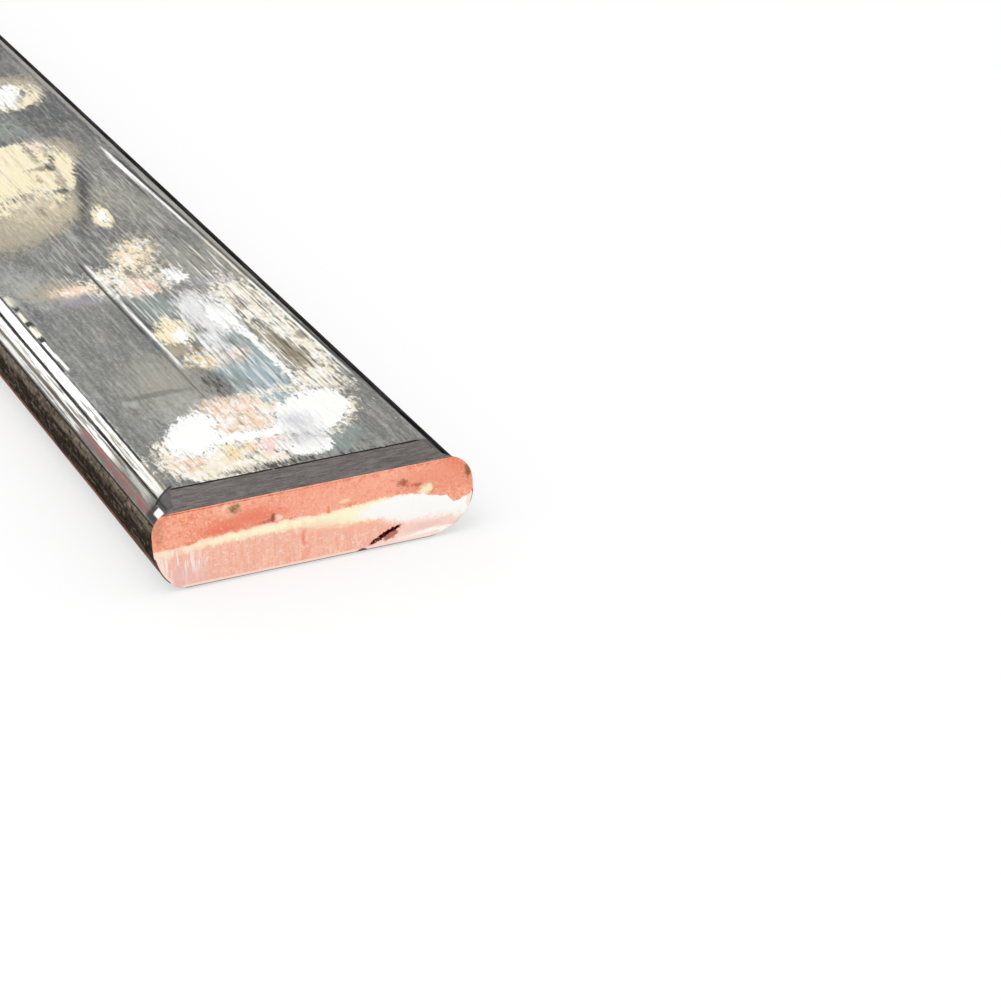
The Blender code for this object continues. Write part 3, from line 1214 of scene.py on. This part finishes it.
# Each: side, colour, start and end angle, softness, start and end along, fade, strength.
# The tilted ones lie on the right, and cross it slowly.
# The white, cream, pale grey and haze stripes are painted reflections; the black and deep ones,
# and the brown ones in the scores, are painted shade and dark reflection.
STRIPES = (
    ("left", CREAM, -5, 6.2, 2, -74.2, -70.4, 0.7, 0.6),
    ("left", CREAM, -1, 6.6, 1.4, -68, -64.4, 0.5, 0.8),
    ("left", CREAM, -3.4, 6.6, 1.2, -62, -58.4, 0.4, 1),
    ("left", WHITE, 0.8, 6, 1.2, -56.6, -50, 0.5, 1),
    ("left", WHITE, -1.6, 3.6, 1.2, -52.5, -45.8, 0.8, 0.95),
    ("left", SHADE_BLACK, -4, 5, 1.2, -69.6, -68.6, 0.3, 0.9),
    ("left", SHADE_BLACK, -5, 6.5, 1.2, -64.2, -62.6, 0.3, 1),
    ("left", SHADE_BLACK, -3, 7.5, 1.2, -58.4, -56.8, 0.3, 1),
    ("left", SHADE_BLACK, 8, 11.4, 0.6, FAR_END, -57, 1, 0.8),
    ("left", SHADE_BLACK, 7.2, 11.4, 0.6, -57, -45.5, 1, 1),
    ("left", DEEP, 8.5, 10.5, 1.2, -45.5, -31.5, 1, 0.45),
    ("left", SHADE_BLACK, 7.6, 11.4, 0.6, -31.5, -15.5, 1, 1),
    ("left", BROWN, 8.4, 11.2, 0.9, -15.5, -6.6, 1, 0.85),
    ("left", WHITE, 12.2, 26.2, 0.7, FAR_END, -31, 3, 1),
    ("left", PALE_GREY, 12.2, 26.4, 0.9, -31, -5.8, 2, 0.9),
    ("left", WHITE, 13, 15.5, 0.9, -31, -5.8, 2, 0.7),
    ("left", WHITE, 22.5, 25.5, 0.9, -31, -5.8, 2, 0.7),
    ("left", WHITE, 31.6, 43.8, 0.7, FAR_END, -19, 3, 1),
    ("left", PALE_GREY, 31.6, 43, 1.2, -19, -6.8, 1.5, 0.8),
    ("left", SHADE_BLACK, 26.9, 31.1, 0.45, FAR_END, -5.4, 0.6, 1),
    ("left", BROWN, 44.6, 48.6, 1.2, FAR_END, -48, 3, 0.7),
    ("left", seen(84, 58, 44), 44.4, 48.6, 1, -48, -24, 3, 1),
    ("left", WHITE, 49.2, 57, 1.2, FAR_END, -30, 3, 0.9),
    ("left", DEEP, 57.8, 61.6, 1.5, FAR_END, -28, 4, 0.6),
    ("right", HAZE, 10, 19, 1.5, FAR_END, -60, 12, 0.7),
    ("right", DEEP, 3, 6, 1.5, FAR_END, -130, 6, 0.5),
    ("tilted", WHITE, 5.8, 11.4, 1.2, -126, -84, 3, 1),
    ("tilted", WHITE, 2, 11, 1.2, -122, -107, 4, 1),
    ("tilted", CREAM, 6.2, 10.8, 1.2, -84, -66, 2, 0.8),
    ("tilted", WHITE, 5.8, 11.4, 1.2, -66, -29.5, 1, 1),
    ("tilted", SHADE_BLACK, 12.6, 18.8, 0.9, -122, -88, 4, 1),
    ("tilted", DEEP, 12.8, 17.8, 1.2, -88, -52, 4, 0.85),
    ("tilted", SHADE_BLACK, 12.6, 18.8, 0.9, -52, -29, 3, 1),
    ("tilted", HAZE, 20.4, 25.5, 1.5, -114, -52, 4, 0.75),
    ("tilted", SHADE_BLACK, -6, -1, 1.2, -112, -103, 2, 0.75),
    ("tilted", DEEP, 1, 5.5, 1.2, -64.2, -61.4, 0.8, 0.85),
    ("tilted", DEEP, 13.5, 17, 1.5, -28, -7, 3, 0.6),
)
tilt = calc("MULTIPLY", calc("ADD", along, 40.0), -0.17)
edges = {"left": left, "right": right, "tilted": calc("ADD", right, tilt)}
# A noise breaks the painted reflections up along the bar.
streak_breakup = rise(light_lines, 0.34, 0.50, 0.45, 1.0)
ragged = pulled(along, torn_by[0], 0.5)
for side, stripe_colour, start, end, soft, first, last, fade, strength in STRIPES:
    masks = [arc(edges[side], start, end, soft), span(ragged, first, last, fade), strength]
    if stripe_colour not in (SHADE_BLACK, DEEP):
        masks.append(streak_breakup)
    colour = lay(colour, stripe_colour, *masks)
print("stripes:", len(STRIPES))

thin_lines = grain(place, (9.0, 0.26, 0.26), 17.0, 2.0, 0.6)
scratches, near_cut = rise(thin_lines, 0.51, 0.59), rise(along, -62.0, -38.0, 0.5, 1.0)
colour = lay(colour, seen(112, 106, 92), scratches, arc(left, 13, 56, 2.0), 0.85, near_cut)

# %% Red rub marks, and the tin at the lip
RUB_RED = seen(164, 98, 98)
red_place = both(band(along, -31.0, -4.0, 2.5), arc(left, 44, 57, 1.5))
blurred_specks = grain(place, (2.2, 0.9, 0.9), 3.0, 1.0, 0.5)
red_specks = rise(blurred_specks, 0.25, 0.75)
# A pale ground under the red marks: the painted reflection of the lowest bright stripe, carried on
# towards the cut.
colour = lay(colour, SIDE_LIGHT, red_place, 0.8)
colour = lay(colour, RUB_RED, red_place, red_specks, 0.9)

# The lip's tin is painted dark: a painted reflection of darker surroundings.
LAND_GREY = seen(62, 58, 58)


def lay_lip(colour, left, lip_grey):
    """Paints the lip: its dark reflection, shade in its fold, a highlight, a shadow by the copper.
    """
    wrapped = calc("MULTIPLY_ADD", left, -0.07, along)
    wrap = both(rise(wrapped, -6.85, -6.7), arc(left, 0, 34, 1.5))
    lip = both(rise(along, -5.6, -4.6), arc(left, 35, 58, 3.0))
    colour = lay(colour, lip_grey, calc("MAXIMUM", wrap, lip), 0.95)
    # Painted shade in the fold.
    fold = both(band(wrapped, -7.2, -6.7, 0.08), arc(left, -2, 36, 2.0))
    colour = lay(colour, SHADE_BLACK, fold, 0.95)
    # A painted highlight.
    shine = both(band(along, -3.7, -1.6, 0.25), arc(left, 35, 47, 1.5))
    colour = paint(shine, colour, WHITE)
    # A painted shadow line along the copper.
    dirt_and_shade = both(rise(along, -0.75, -0.5), rise(left, reading(28), reading(40)))
    return lay(colour, DEEP, dirt_and_shade, 0.9)


colour = lay_lip(colour, left, LAND_GREY)
# The same painted dark reflection on the right rounding.
right_lip = both(rise(along, -6.7, -6.45), arc(right, -10, 40, 1.5))
colour = lay(colour, LAND_GREY, right_lip, 0.95)
print("edge marks laid")

# %% The line along the top, and the hairline across it
# Each: colour, from and to across, from and to along, fade, strength
# The white lines are painted highlights on a score's flank, and the deep ones painted shade in it.
TOP_LINES = (
    (WHITE, -2.62, -2.2, -80, -66, 1.5, 0.8),
    (DEEP, -2, -1.6, -66, -54, 2, 0.7),
    (WHITE, -2.55, -2.1, -66, -41, 2, 0.9),
    (DEEP, -3.3, -2.85, -82, -52, 2, 0.95),
    (DEEP, -3.2, -2.85, -52, -28, 5, 0.5),
    (WHITE, -2.5, -2.2, -140, -118, 4, 0.4),
)
for line_colour, low_y, high_y, first, last, fade, strength in TOP_LINES:
    crosswise, lengthwise = band(across_bar, low_y, high_y, 0.12), band(ragged, first, last, fade)
    colour = lay(colour, line_colour, crosswise, lengthwise, on_top, streak_breakup, strength)

bend = centred(grain(place, (3.0, 3.0, 3.0), 4.0, 2.0, 0.5))
bent = (pulled(along, bend, 0.4), across_bar)
hairline = blot(bent, (-33.6, -8.2), (0.7, 5.0), 0, 0.5)
colour = lay(colour, seen(82, 80, 76), hairline, on_top, 0.45)
print("lines on the top:", len(TOP_LINES) + 1)

# %% Gloss and fine grain of the tin
roughness = rise(mottle, 0.3, 0.7, 0.38, 0.27)
relief = calc("MULTIPLY_ADD", mottle, 0.6, streaks)
relief = calc("MULTIPLY_ADD", cloud, 2.0, relief)
plug(shader, colour, roughness, relief, 0.2)
print("tin nodes:", len(tree.nodes))

# %% [markdown]
# ## The sides
# The sides show rough drawn tin with brown dirt in it, painted lighter above and darker below as
# painted shade of the dark things they mirror, with fine streaks along the bar. Low on the left
# the tin is rubbed through, and a line of copper shows. A metal turns brighter towards grazing
# angles. The edge tint is low so that the painted dark holds there, and the colours are written
# lighter than the camera sees them.

# %% Side finish
side_tin, tree, shader = new_metal("tinned_side", 0.15)
place, along, across_bar, height = places()
left, right = edge_angle(-1.0), edge_angle(1.0)
drawn = grain(place, (9.0, 0.5, 0.5), 6.0, 4.0, 0.65)
dirt_and_shade = grain(place, (1.1, 0.6, 0.6), 8.0, 3.0, 0.7)
rubbed = grain(place, (16.0, 6.0, 6.0), 3.0)
swayed = pulled(calc("MAXIMUM", left, right), centred(drawn), 1.5)
# Lighter above and darker below: painted shade.
upper = rise(swayed, reading(80.0), reading(70.0))
colour = paint(upper, seen(102, 94, 86), seen(142, 132, 119))
# Dark spots, pale spots, dark streaks, pale streaks
colour = tint(colour, seen(70, 60, 52), dirt_and_shade, 0.52, 0.34, 0.85)
colour = tint(colour, seen(184, 176, 166), dirt_and_shade, 0.53, 0.68, 0.65)
colour = tint(colour, seen(76, 70, 66), drawn, 0.50, 0.36, 0.55)
colour = tint(colour, seen(176, 168, 158), drawn, 0.54, 0.66, 0.5)

# The right rounding is painted dark: a painted reflection of dark surroundings.
right_shade = paint(rise(drawn, 0.42, 0.62), seen(36, 34, 37), seen(92, 90, 94))
colour = lay(colour, right_shade, arc(right, 21, 47, 3.0), 0.9)
# A painted dark reflection under the stripes.
under_stripes = arc(left, 56, 62.5, 1.2)
colour = lay(colour, seen(70, 66, 64), under_stripes, 0.9)
rubbed_through = rise(rubbed, 0.40, 0.55, 0.35, 1.0)
colour = lay(colour, seen(214, 146, 120), arc(left, 103, 116, 2.0), rubbed_through, 0.9)
colour = lay_lip(colour, left, seen(84, 79, 77))
roughness = rise(dirt_and_shade, 0.3, 0.7, 0.48, 0.34)
relief = calc("MULTIPLY_ADD", dirt_and_shade, 0.7, drawn)
plug(shader, colour, roughness, relief, 0.25)
print("side nodes:", len(tree.nodes))

# %% [markdown]
# ## The pressed land
# The hold-down's jaw left the land duller than the rest, with short marks that run across the
# bar. It is painted darker, as a painted reflection of darker surroundings, and the fold behind
# it holds a painted shadow line.

# %% Pressed land finish
pressed_tin, tree, shader = new_metal("pressed_tin", 0.5)
place, along, across_bar, height = places()
marks = grain(place, (0.22, 1.8, 1.8), 0.0, 4.0, 0.7)
specks = grain(place, (0.3, 0.3, 0.3), 2.0, 3.0, 0.7)
smears = grain(place, (1.6, 9.0, 9.0), 5.0, 2.0, 0.5)
# The land's colour is painted dark: a painted reflection of darker surroundings.
colour = paint(rise(marks, 0.3, 0.7), seen(92, 86, 84), seen(138, 131, 129))
colour = tint(colour, HAZE, specks, 0.5, 0.7, 0.35)
colour = tint(colour, seen(92, 88, 88), smears, 0.5, 0.7, 0.4)
# Painted shade in the fold.
fold_line = pulled(along, centred(grain(place, (1.0, 1.6, 1.6))), 0.05)
fold = band(fold_line, -6.8, -6.05, 0.10)
colour = lay(colour, DEEP, fold, 0.92)
plug(shader, colour, 0.42, marks, 0.3)
print("land nodes:", len(tree.nodes))

# %% [markdown]
# ## The sheared copper
# Fresh copper is salmon pink. Where it broke it is matt and speckled, more orange. Where the
# blade passed it is smoother, with upright streaks, and just under the break line the burnished
# rollover carries a pale painted highlight.
# Two numbers stored on the mesh tell the finish where it is: the height over the break line,
# and the distance from the rim.

# %% Colours of the copper
SALMON = seen(249, 172, 145)
SALMON_DARK = seen(241, 156, 128)
SALMON_LIGHT = seen(253, 186, 162)
RUST = seen(236, 126, 100)
PINK = seen(243, 185, 163)
PINK_LIGHT = seen(250, 197, 176)
MAUVE = seen(238, 196, 188)
FLESH = seen(255, 226, 212)
BUFF = seen(255, 251, 214)
MILK = seen(255, 254, 250)
UMBER = seen(140, 104, 66)
MAROON = seen(112, 28, 38)
BRICK = seen(168, 86, 74)
# The umber and brick marks that lie on the pits are painted shade in those hollows.
# Each: colour, middle across and up, half sizes, turn, softness, tearing, strength
BREAK_MARKS = (
    (SALMON_LIGHT, 4, 8, 16, 1.6, 0, 0.6, 0.5, 0.5),
    (RUST, -9.6, 6.9, 4.6, 0.9, 3, 0.5, 0.9, 0.5),
    (RUST, -8, 7.6, 3.6, 0.9, 0, 0.6, 0.9, 0.4),
    (RUST, -11.8, 6.35, 2, 0.35, 2, 0.5, 0.8, 0.6),
    (BRICK, -5.6, 6.5, 0.9, 0.3, 0, 0.9, 1.2, 0.7),
    (RUST, 18.8, 9, 2.4, 1.3, -20, 0.5, 0.5, 0.5),
    (SALMON_DARK, 15.5, 7.2, 4, 1.6, 0, 0.5, 0.5, 0.6),
    (BUFF, -10.4, 8.7, 1, 0.7, 0, 0.9, 1, 0.4),
    (UMBER, -10, 8.7, 0.6, 0.45, 0, 0.9, 0.9, 0.95),
    (UMBER, -19.4, 7.8, 0.5, 1.2, 0, 0.9, 1.8, 0.35),
    (FLESH, -4.6, 6.5, 0.4, 0.35, 0, 0.6, 0.6, 0.85),
    (BRICK, -5.2, 6.7, 0.25, 0.45, 0, 0.6, 0.6, 0.85),
    (BRICK, 11.2, 7.6, 0.8, 0.35, -20, 0.9, 1.2, 0.8),
    (BRICK, 13.2, 7, 0.55, 0.3, 0, 0.9, 1.2, 0.7),
    (BUFF, 14.2, 6.3, 0.9, 0.5, 10, 0.8, 0.9, 0.85),
    (BUFF, 3.7, 6.95, 0.5, 0.3, 0, 0.5, 0.5, 0.5),
    (UMBER, 19.7, 7.6, 0.35, 0.8, 0, 0.9, 0.9, 0.9),
)
CUT_MARKS = (
    (SALMON_LIGHT, 4.5, 3.9, 5.5, 1, -6, 0.6, 0.4, 0.7),
    (MAUVE, -16.6, 1.6, 3.2, 1.6, 0, 0.5, 0.5, 0.6),
    (BUFF, 6.5, 4.9, 5.5, 1, 2, 0.5, 0.3, 0.9),
    (MILK, 10, 5, 4.8, 1.1, 3, 0.3, 0.2, 1),
    (MILK, 13, 4.2, 5.2, 1.8, -4, 0.3, 0.2, 1),
    (MILK, 17.2, 3.6, 4.6, 1.8, 0, 0.3, 0.2, 1),
    (FLESH, 9.4, 0.9, 2.6, 0.7, 14, 0.4, 0.4, 0.9),
    (FLESH, 14, 1.5, 4, 1.3, 4, 0.4, 0.5, 0.8),
    (MAUVE, 14.2, 1.75, 3, 0.45, 4, 0.6, 0.7, 0.5),
    (MILK, 13.8, 0.65, 3.6, 0.5, 4, 0.35, 0.3, 1),
    (RUST, -1.7, 3.4, 0.2, 0.9, 0, 0.7, 0.6, 0.7),
    (SALMON_DARK, -1.5, 1.2, 0.5, 1.2, 0, 0.7, 0.6, 0.4),
)
print("copper marks:", len(BREAK_MARKS) + len(CUT_MARKS))

# %% Sheared copper finish: the two zones
copper, tree, shader = new_metal("sheared_copper", 0.6)
place, along, across_bar, height = places()
over = stored("over_break")
inside = stored("from_rim")
grit = grain(place, (0.7, 0.7, 0.5), 0.0, 4.0, 0.75)
fine_grit = grain(place, (0.36, 0.36, 0.36), 3.0, 3.0, 0.75)
drift = grain(place, (2.6, 2.6, 1.6), 5.0, 2.0, 0.5)
upright = grain(place, (0.34, 0.34, 4.0), 9.0, 3.0, 0.65)
broad_upright = grain(place, (1.1, 1.1, 3.0), 14.0, 3.0, 0.6)
torn = centred(grit)
wobble = (
    pulled(across_bar, centred(grain(place, (1.1, 1.1, 1.1), 2.0)), 0.2),
    pulled(height, centred(grain(place, (1.3, 1.3, 1.3), 12.0)), 0.1),
)

broken_colour = paint(rise(drift, 0.35, 0.65), SALMON_DARK, SALMON_LIGHT)
broken_colour = paint(0.5, broken_colour, SALMON)
broken_colour = tint(broken_colour, seen(239, 144, 112), grit, 0.5, 0.6, 0.95)
broken_colour = tint(broken_colour, seen(255, 200, 170), fine_grit, 0.5, 0.6, 0.85)
cut_colour = paint(rise(broad_upright, 0.35, 0.65), PINK, PINK_LIGHT)
cut_colour = tint(cut_colour, FLESH, upright, 0.48, 0.66, 0.35)
cut_colour = tint(cut_colour, SALMON_DARK, upright, 0.47, 0.33, 0.3)
cut_colour = tint(cut_colour, SALMON, fine_grit, 0.5, 0.6, 0.75)
cut_colour = tint(cut_colour, FLESH, grit, 0.52, 0.64, 0.65)
print("copper zones ready")

# %% Sheared copper finish: marks
def lay_marks(colour, marks):
    """Paints a table of torn ovals on the cut face."""
    for mark_colour, y, z, half_y, half_z, turn, soft, tearing, strength in marks:
        mask = blot(wobble, (y, z), (half_y, half_z), turn, soft, torn, tearing)
        colour = lay(colour, mark_colour, mask, strength)
    return colour


broken_colour = lay_marks(broken_colour, BREAK_MARKS)
# The pale band just under the break line is a painted highlight on the burnished rollover.
band_width = rise(across_bar, -16.0, 6.0, -1.25, -2.0)
band_in = calc("MULTIPLY_ADD", torn, 0.26, over)
pale_band = rise(band_in, band_width, calc("MULTIPLY", band_width, 0.5))
thin_left = rise(across_bar, -19.0, -9.0, 0.5, 1.0)
patchy = rise(broad_upright, 0.35, 0.55, 0.75, 1.0)
under_break = rise(band_in, -0.45, 0.05, 1.0, 0.35)
cut_colour = tint(cut_colour, FLESH, over, -0.8, -0.2, 0.5)
cut_colour = lay(cut_colour, BUFF, pale_band, under_break, thin_left, patchy)
cut_colour = lay_marks(cut_colour, CUT_MARKS)

left_part = blot(wobble, (-17.2, 2.9), (2.9, 2.4), 0, 0.4)
ridges = grain(place, (0.62, 0.62, 5.0), 21.0, 2.0, 0.6)
high_up = rise(height, 1.6, 3.2, 0.35, 1.0)
pale_ridges = both(left_part, rise(ridges, 0.50, 0.60), high_up)
dark_ridges = both(left_part, rise(ridges, 0.48, 0.38))
cut_colour = lay(cut_colour, MILK, pale_ridges, 0.65)
cut_colour = lay(cut_colour, MAUVE, dark_ridges, 0.8)
print("marks laid on the cut")

# %% Sheared copper finish: rim and tear
frayed = calc("MULTIPLY_ADD", torn, 0.12, over)
zone = rise(frayed, -0.10, 0.10)
low_half = calc("SUBTRACT", 1.0, zone)
colour = paint(zone, cut_colour, broken_colour)

# The pale lines along the rim are painted highlights on its rounding.
light_to = rise(across_bar, 8.0, 15.0, 0.55, 0.85)
rim_light = rise(inside, light_to, calc("MULTIPLY", light_to, 0.7))
colour = lay(colour, FLESH, rim_light, low_half, 0.85)
rim_white = both(rise(inside, 0.5, 0.3), rise(across_bar, -13.0, -17.0), low_half)
colour = lay(colour, FLESH, rim_white, 0.6)
# A painted shadow along the very edge of the rim.
rim_shadow = rise(inside, 0.19, 0.12)
colour = lay(colour, seen(70, 34, 32), rim_shadow, low_half, 0.9)
top_rim = both(rise(inside, 0.26, 0.16), zone)
colour = lay(colour, seen(110, 44, 38), top_rim, 0.85)

# The tear's lobe, its slit and the nick are painted dark: painted shade in those hollows.
ripped = blot(wobble, (9.35, 1.25), (1.05, 0.42), 24, 0.25)
colour = lay(colour, BRICK, ripped, 0.85)
slit = blot(wobble, TEAR_MIDDLE, (2.2, 0.3), 24, 0.2)
colour = paint(slit, colour, MAROON)
nick = blot(wobble, (5.6, 0.1), (0.6, 0.28), 0, 0.4)
colour = lay(colour, MAROON, nick, 0.9)
print("rim and tear painted")

# %% Sheared copper finish: the plain far end, and gloss
far_end = rise(along, -20.0, -30.0)
sawn = grain(place, (1.0, 8.0, 0.4), 1.0, 3.0, 0.6)
sawn_colour = paint(rise(sawn, 0.3, 0.7), SALMON_DARK, PINK_LIGHT)
colour = paint(far_end, colour, sawn_colour)
roughness = rise(over, -0.3, 0.3, 0.38, 0.55)
relief = calc("MULTIPLY_ADD", upright, 0.6, both(grit, zone))
plug(shader, colour, roughness, relief, 0.35, 0.06)
print("copper nodes:", len(tree.nodes))

# %% Dress the bar
for material in (tin, pressed_tin, copper, side_tin):
    mesh.materials.append(material)
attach(tinned_bar, "root")
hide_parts("busbar")
print("bar dressed in", [material.name for material in mesh.materials])

# %% [markdown]
# ## Floor and background
# A wide pale floor carries the bar's soft shadow. The camera, and mirrors in the metal, see it
# close to white: more than half of its light is its own, for those rays only.

# %% Floor
FLOOR_HALF = 6.0
FLOOR_DROP = 0.0002
FLOOR_GLOW = 0.6
floor_bm = bmesh.new()
bmesh.ops.create_grid(floor_bm, x_segments=1, y_segments=1, size=FLOOR_HALF)
bmesh.ops.translate(floor_bm, vec=(0.0, 0.0, -FLOOR_DROP), verts=floor_bm.verts)
floor_mesh = bpy.data.meshes.new("floor")
floor_bm.to_mesh(floor_mesh)
floor_bm.free()
floor = add_object("floor", floor_mesh)


def seen_in_mirrors():
    """1 for rays from the camera, from mirrors and through glass, and 0 for other light."""
    paths = tree.nodes.new("ShaderNodeLightPath").outputs
    first = calc("MAXIMUM", paths["Is Camera Ray"], paths["Is Glossy Ray"])
    return calc("MAXIMUM", first, paths["Is Transmission Ray"])


floor_material = bpy.data.materials.new("pale_floor")
floor_material.use_nodes = True
tree = floor_material.node_tree
tree.nodes.clear()
output = tree.nodes.new("ShaderNodeOutputMaterial")
matt = tree.nodes.new("ShaderNodeBsdfDiffuse")
matt.inputs["Color"].default_value = (0.92, 0.92, 0.92, 1.0)
own_light = tree.nodes.new("ShaderNodeEmission")
own_light.inputs["Strength"].default_value = 1.0
mixed = tree.nodes.new("ShaderNodeMixShader")
glow = calc("MULTIPLY", seen_in_mirrors(), FLOOR_GLOW)
for socket, value in zip(mixed.inputs, (glow, matt.outputs[0], own_light.outputs[0])):
    wire(socket, value)
tree.links.new(mixed.outputs[0], output.inputs["Surface"])
floor_mesh.materials.append(floor_material)
print("floor laid")

# %% World
WORLD_LIGHT = 0.9
world = bpy.data.worlds.new("studio")
bpy.context.scene.world = world
world.use_nodes = True
tree = world.node_tree
tree.nodes.clear()
output = tree.nodes.new("ShaderNodeOutputWorld")
background = tree.nodes.new("ShaderNodeBackground")
background.inputs["Color"].default_value = (1.0, 1.0, 1.0, 1.0)
strength = calc("MULTIPLY_ADD", seen_in_mirrors(), 1.0 - WORLD_LIGHT, WORLD_LIGHT)
tree.links.new(strength, background.inputs["Strength"])
tree.links.new(background.outputs[0], output.inputs["Surface"])
print("world light:", WORLD_LIGHT)

# %% [markdown]
# ## Lamps
# Two large soft lamps. One hangs over the bar. The other stands beyond its far end, low enough
# for the top face and the left rounding to mirror it towards the camera.

# %% Lamps
def soft_box(name, place_m, aim_m, size, power):
    """A rectangular lamp at one place, turned towards another."""
    data = bpy.data.lights.new(name, "AREA")
    data.shape = "RECTANGLE"
    data.size, data.size_y = size
    data.energy = power
    lamp = add_object(name, data)
    lamp.location = place_m
    lamp.rotation_euler = (Vector(aim_m) - Vector(place_m)).to_track_quat("-Z", "Y").to_euler()


CUT_PLACE = Vector((0.5, 0.0, 0.005))
soft_box("overhead", CUT_PLACE + Vector((0.3, -0.6, 1.6)), CUT_PLACE, (1.2, 1.2), 7.0)
soft_box("window", CUT_PLACE + Vector((-1.6, -0.15, 1.05)), CUT_PLACE, (0.9, 0.6), 2.6)
print("lamps placed")
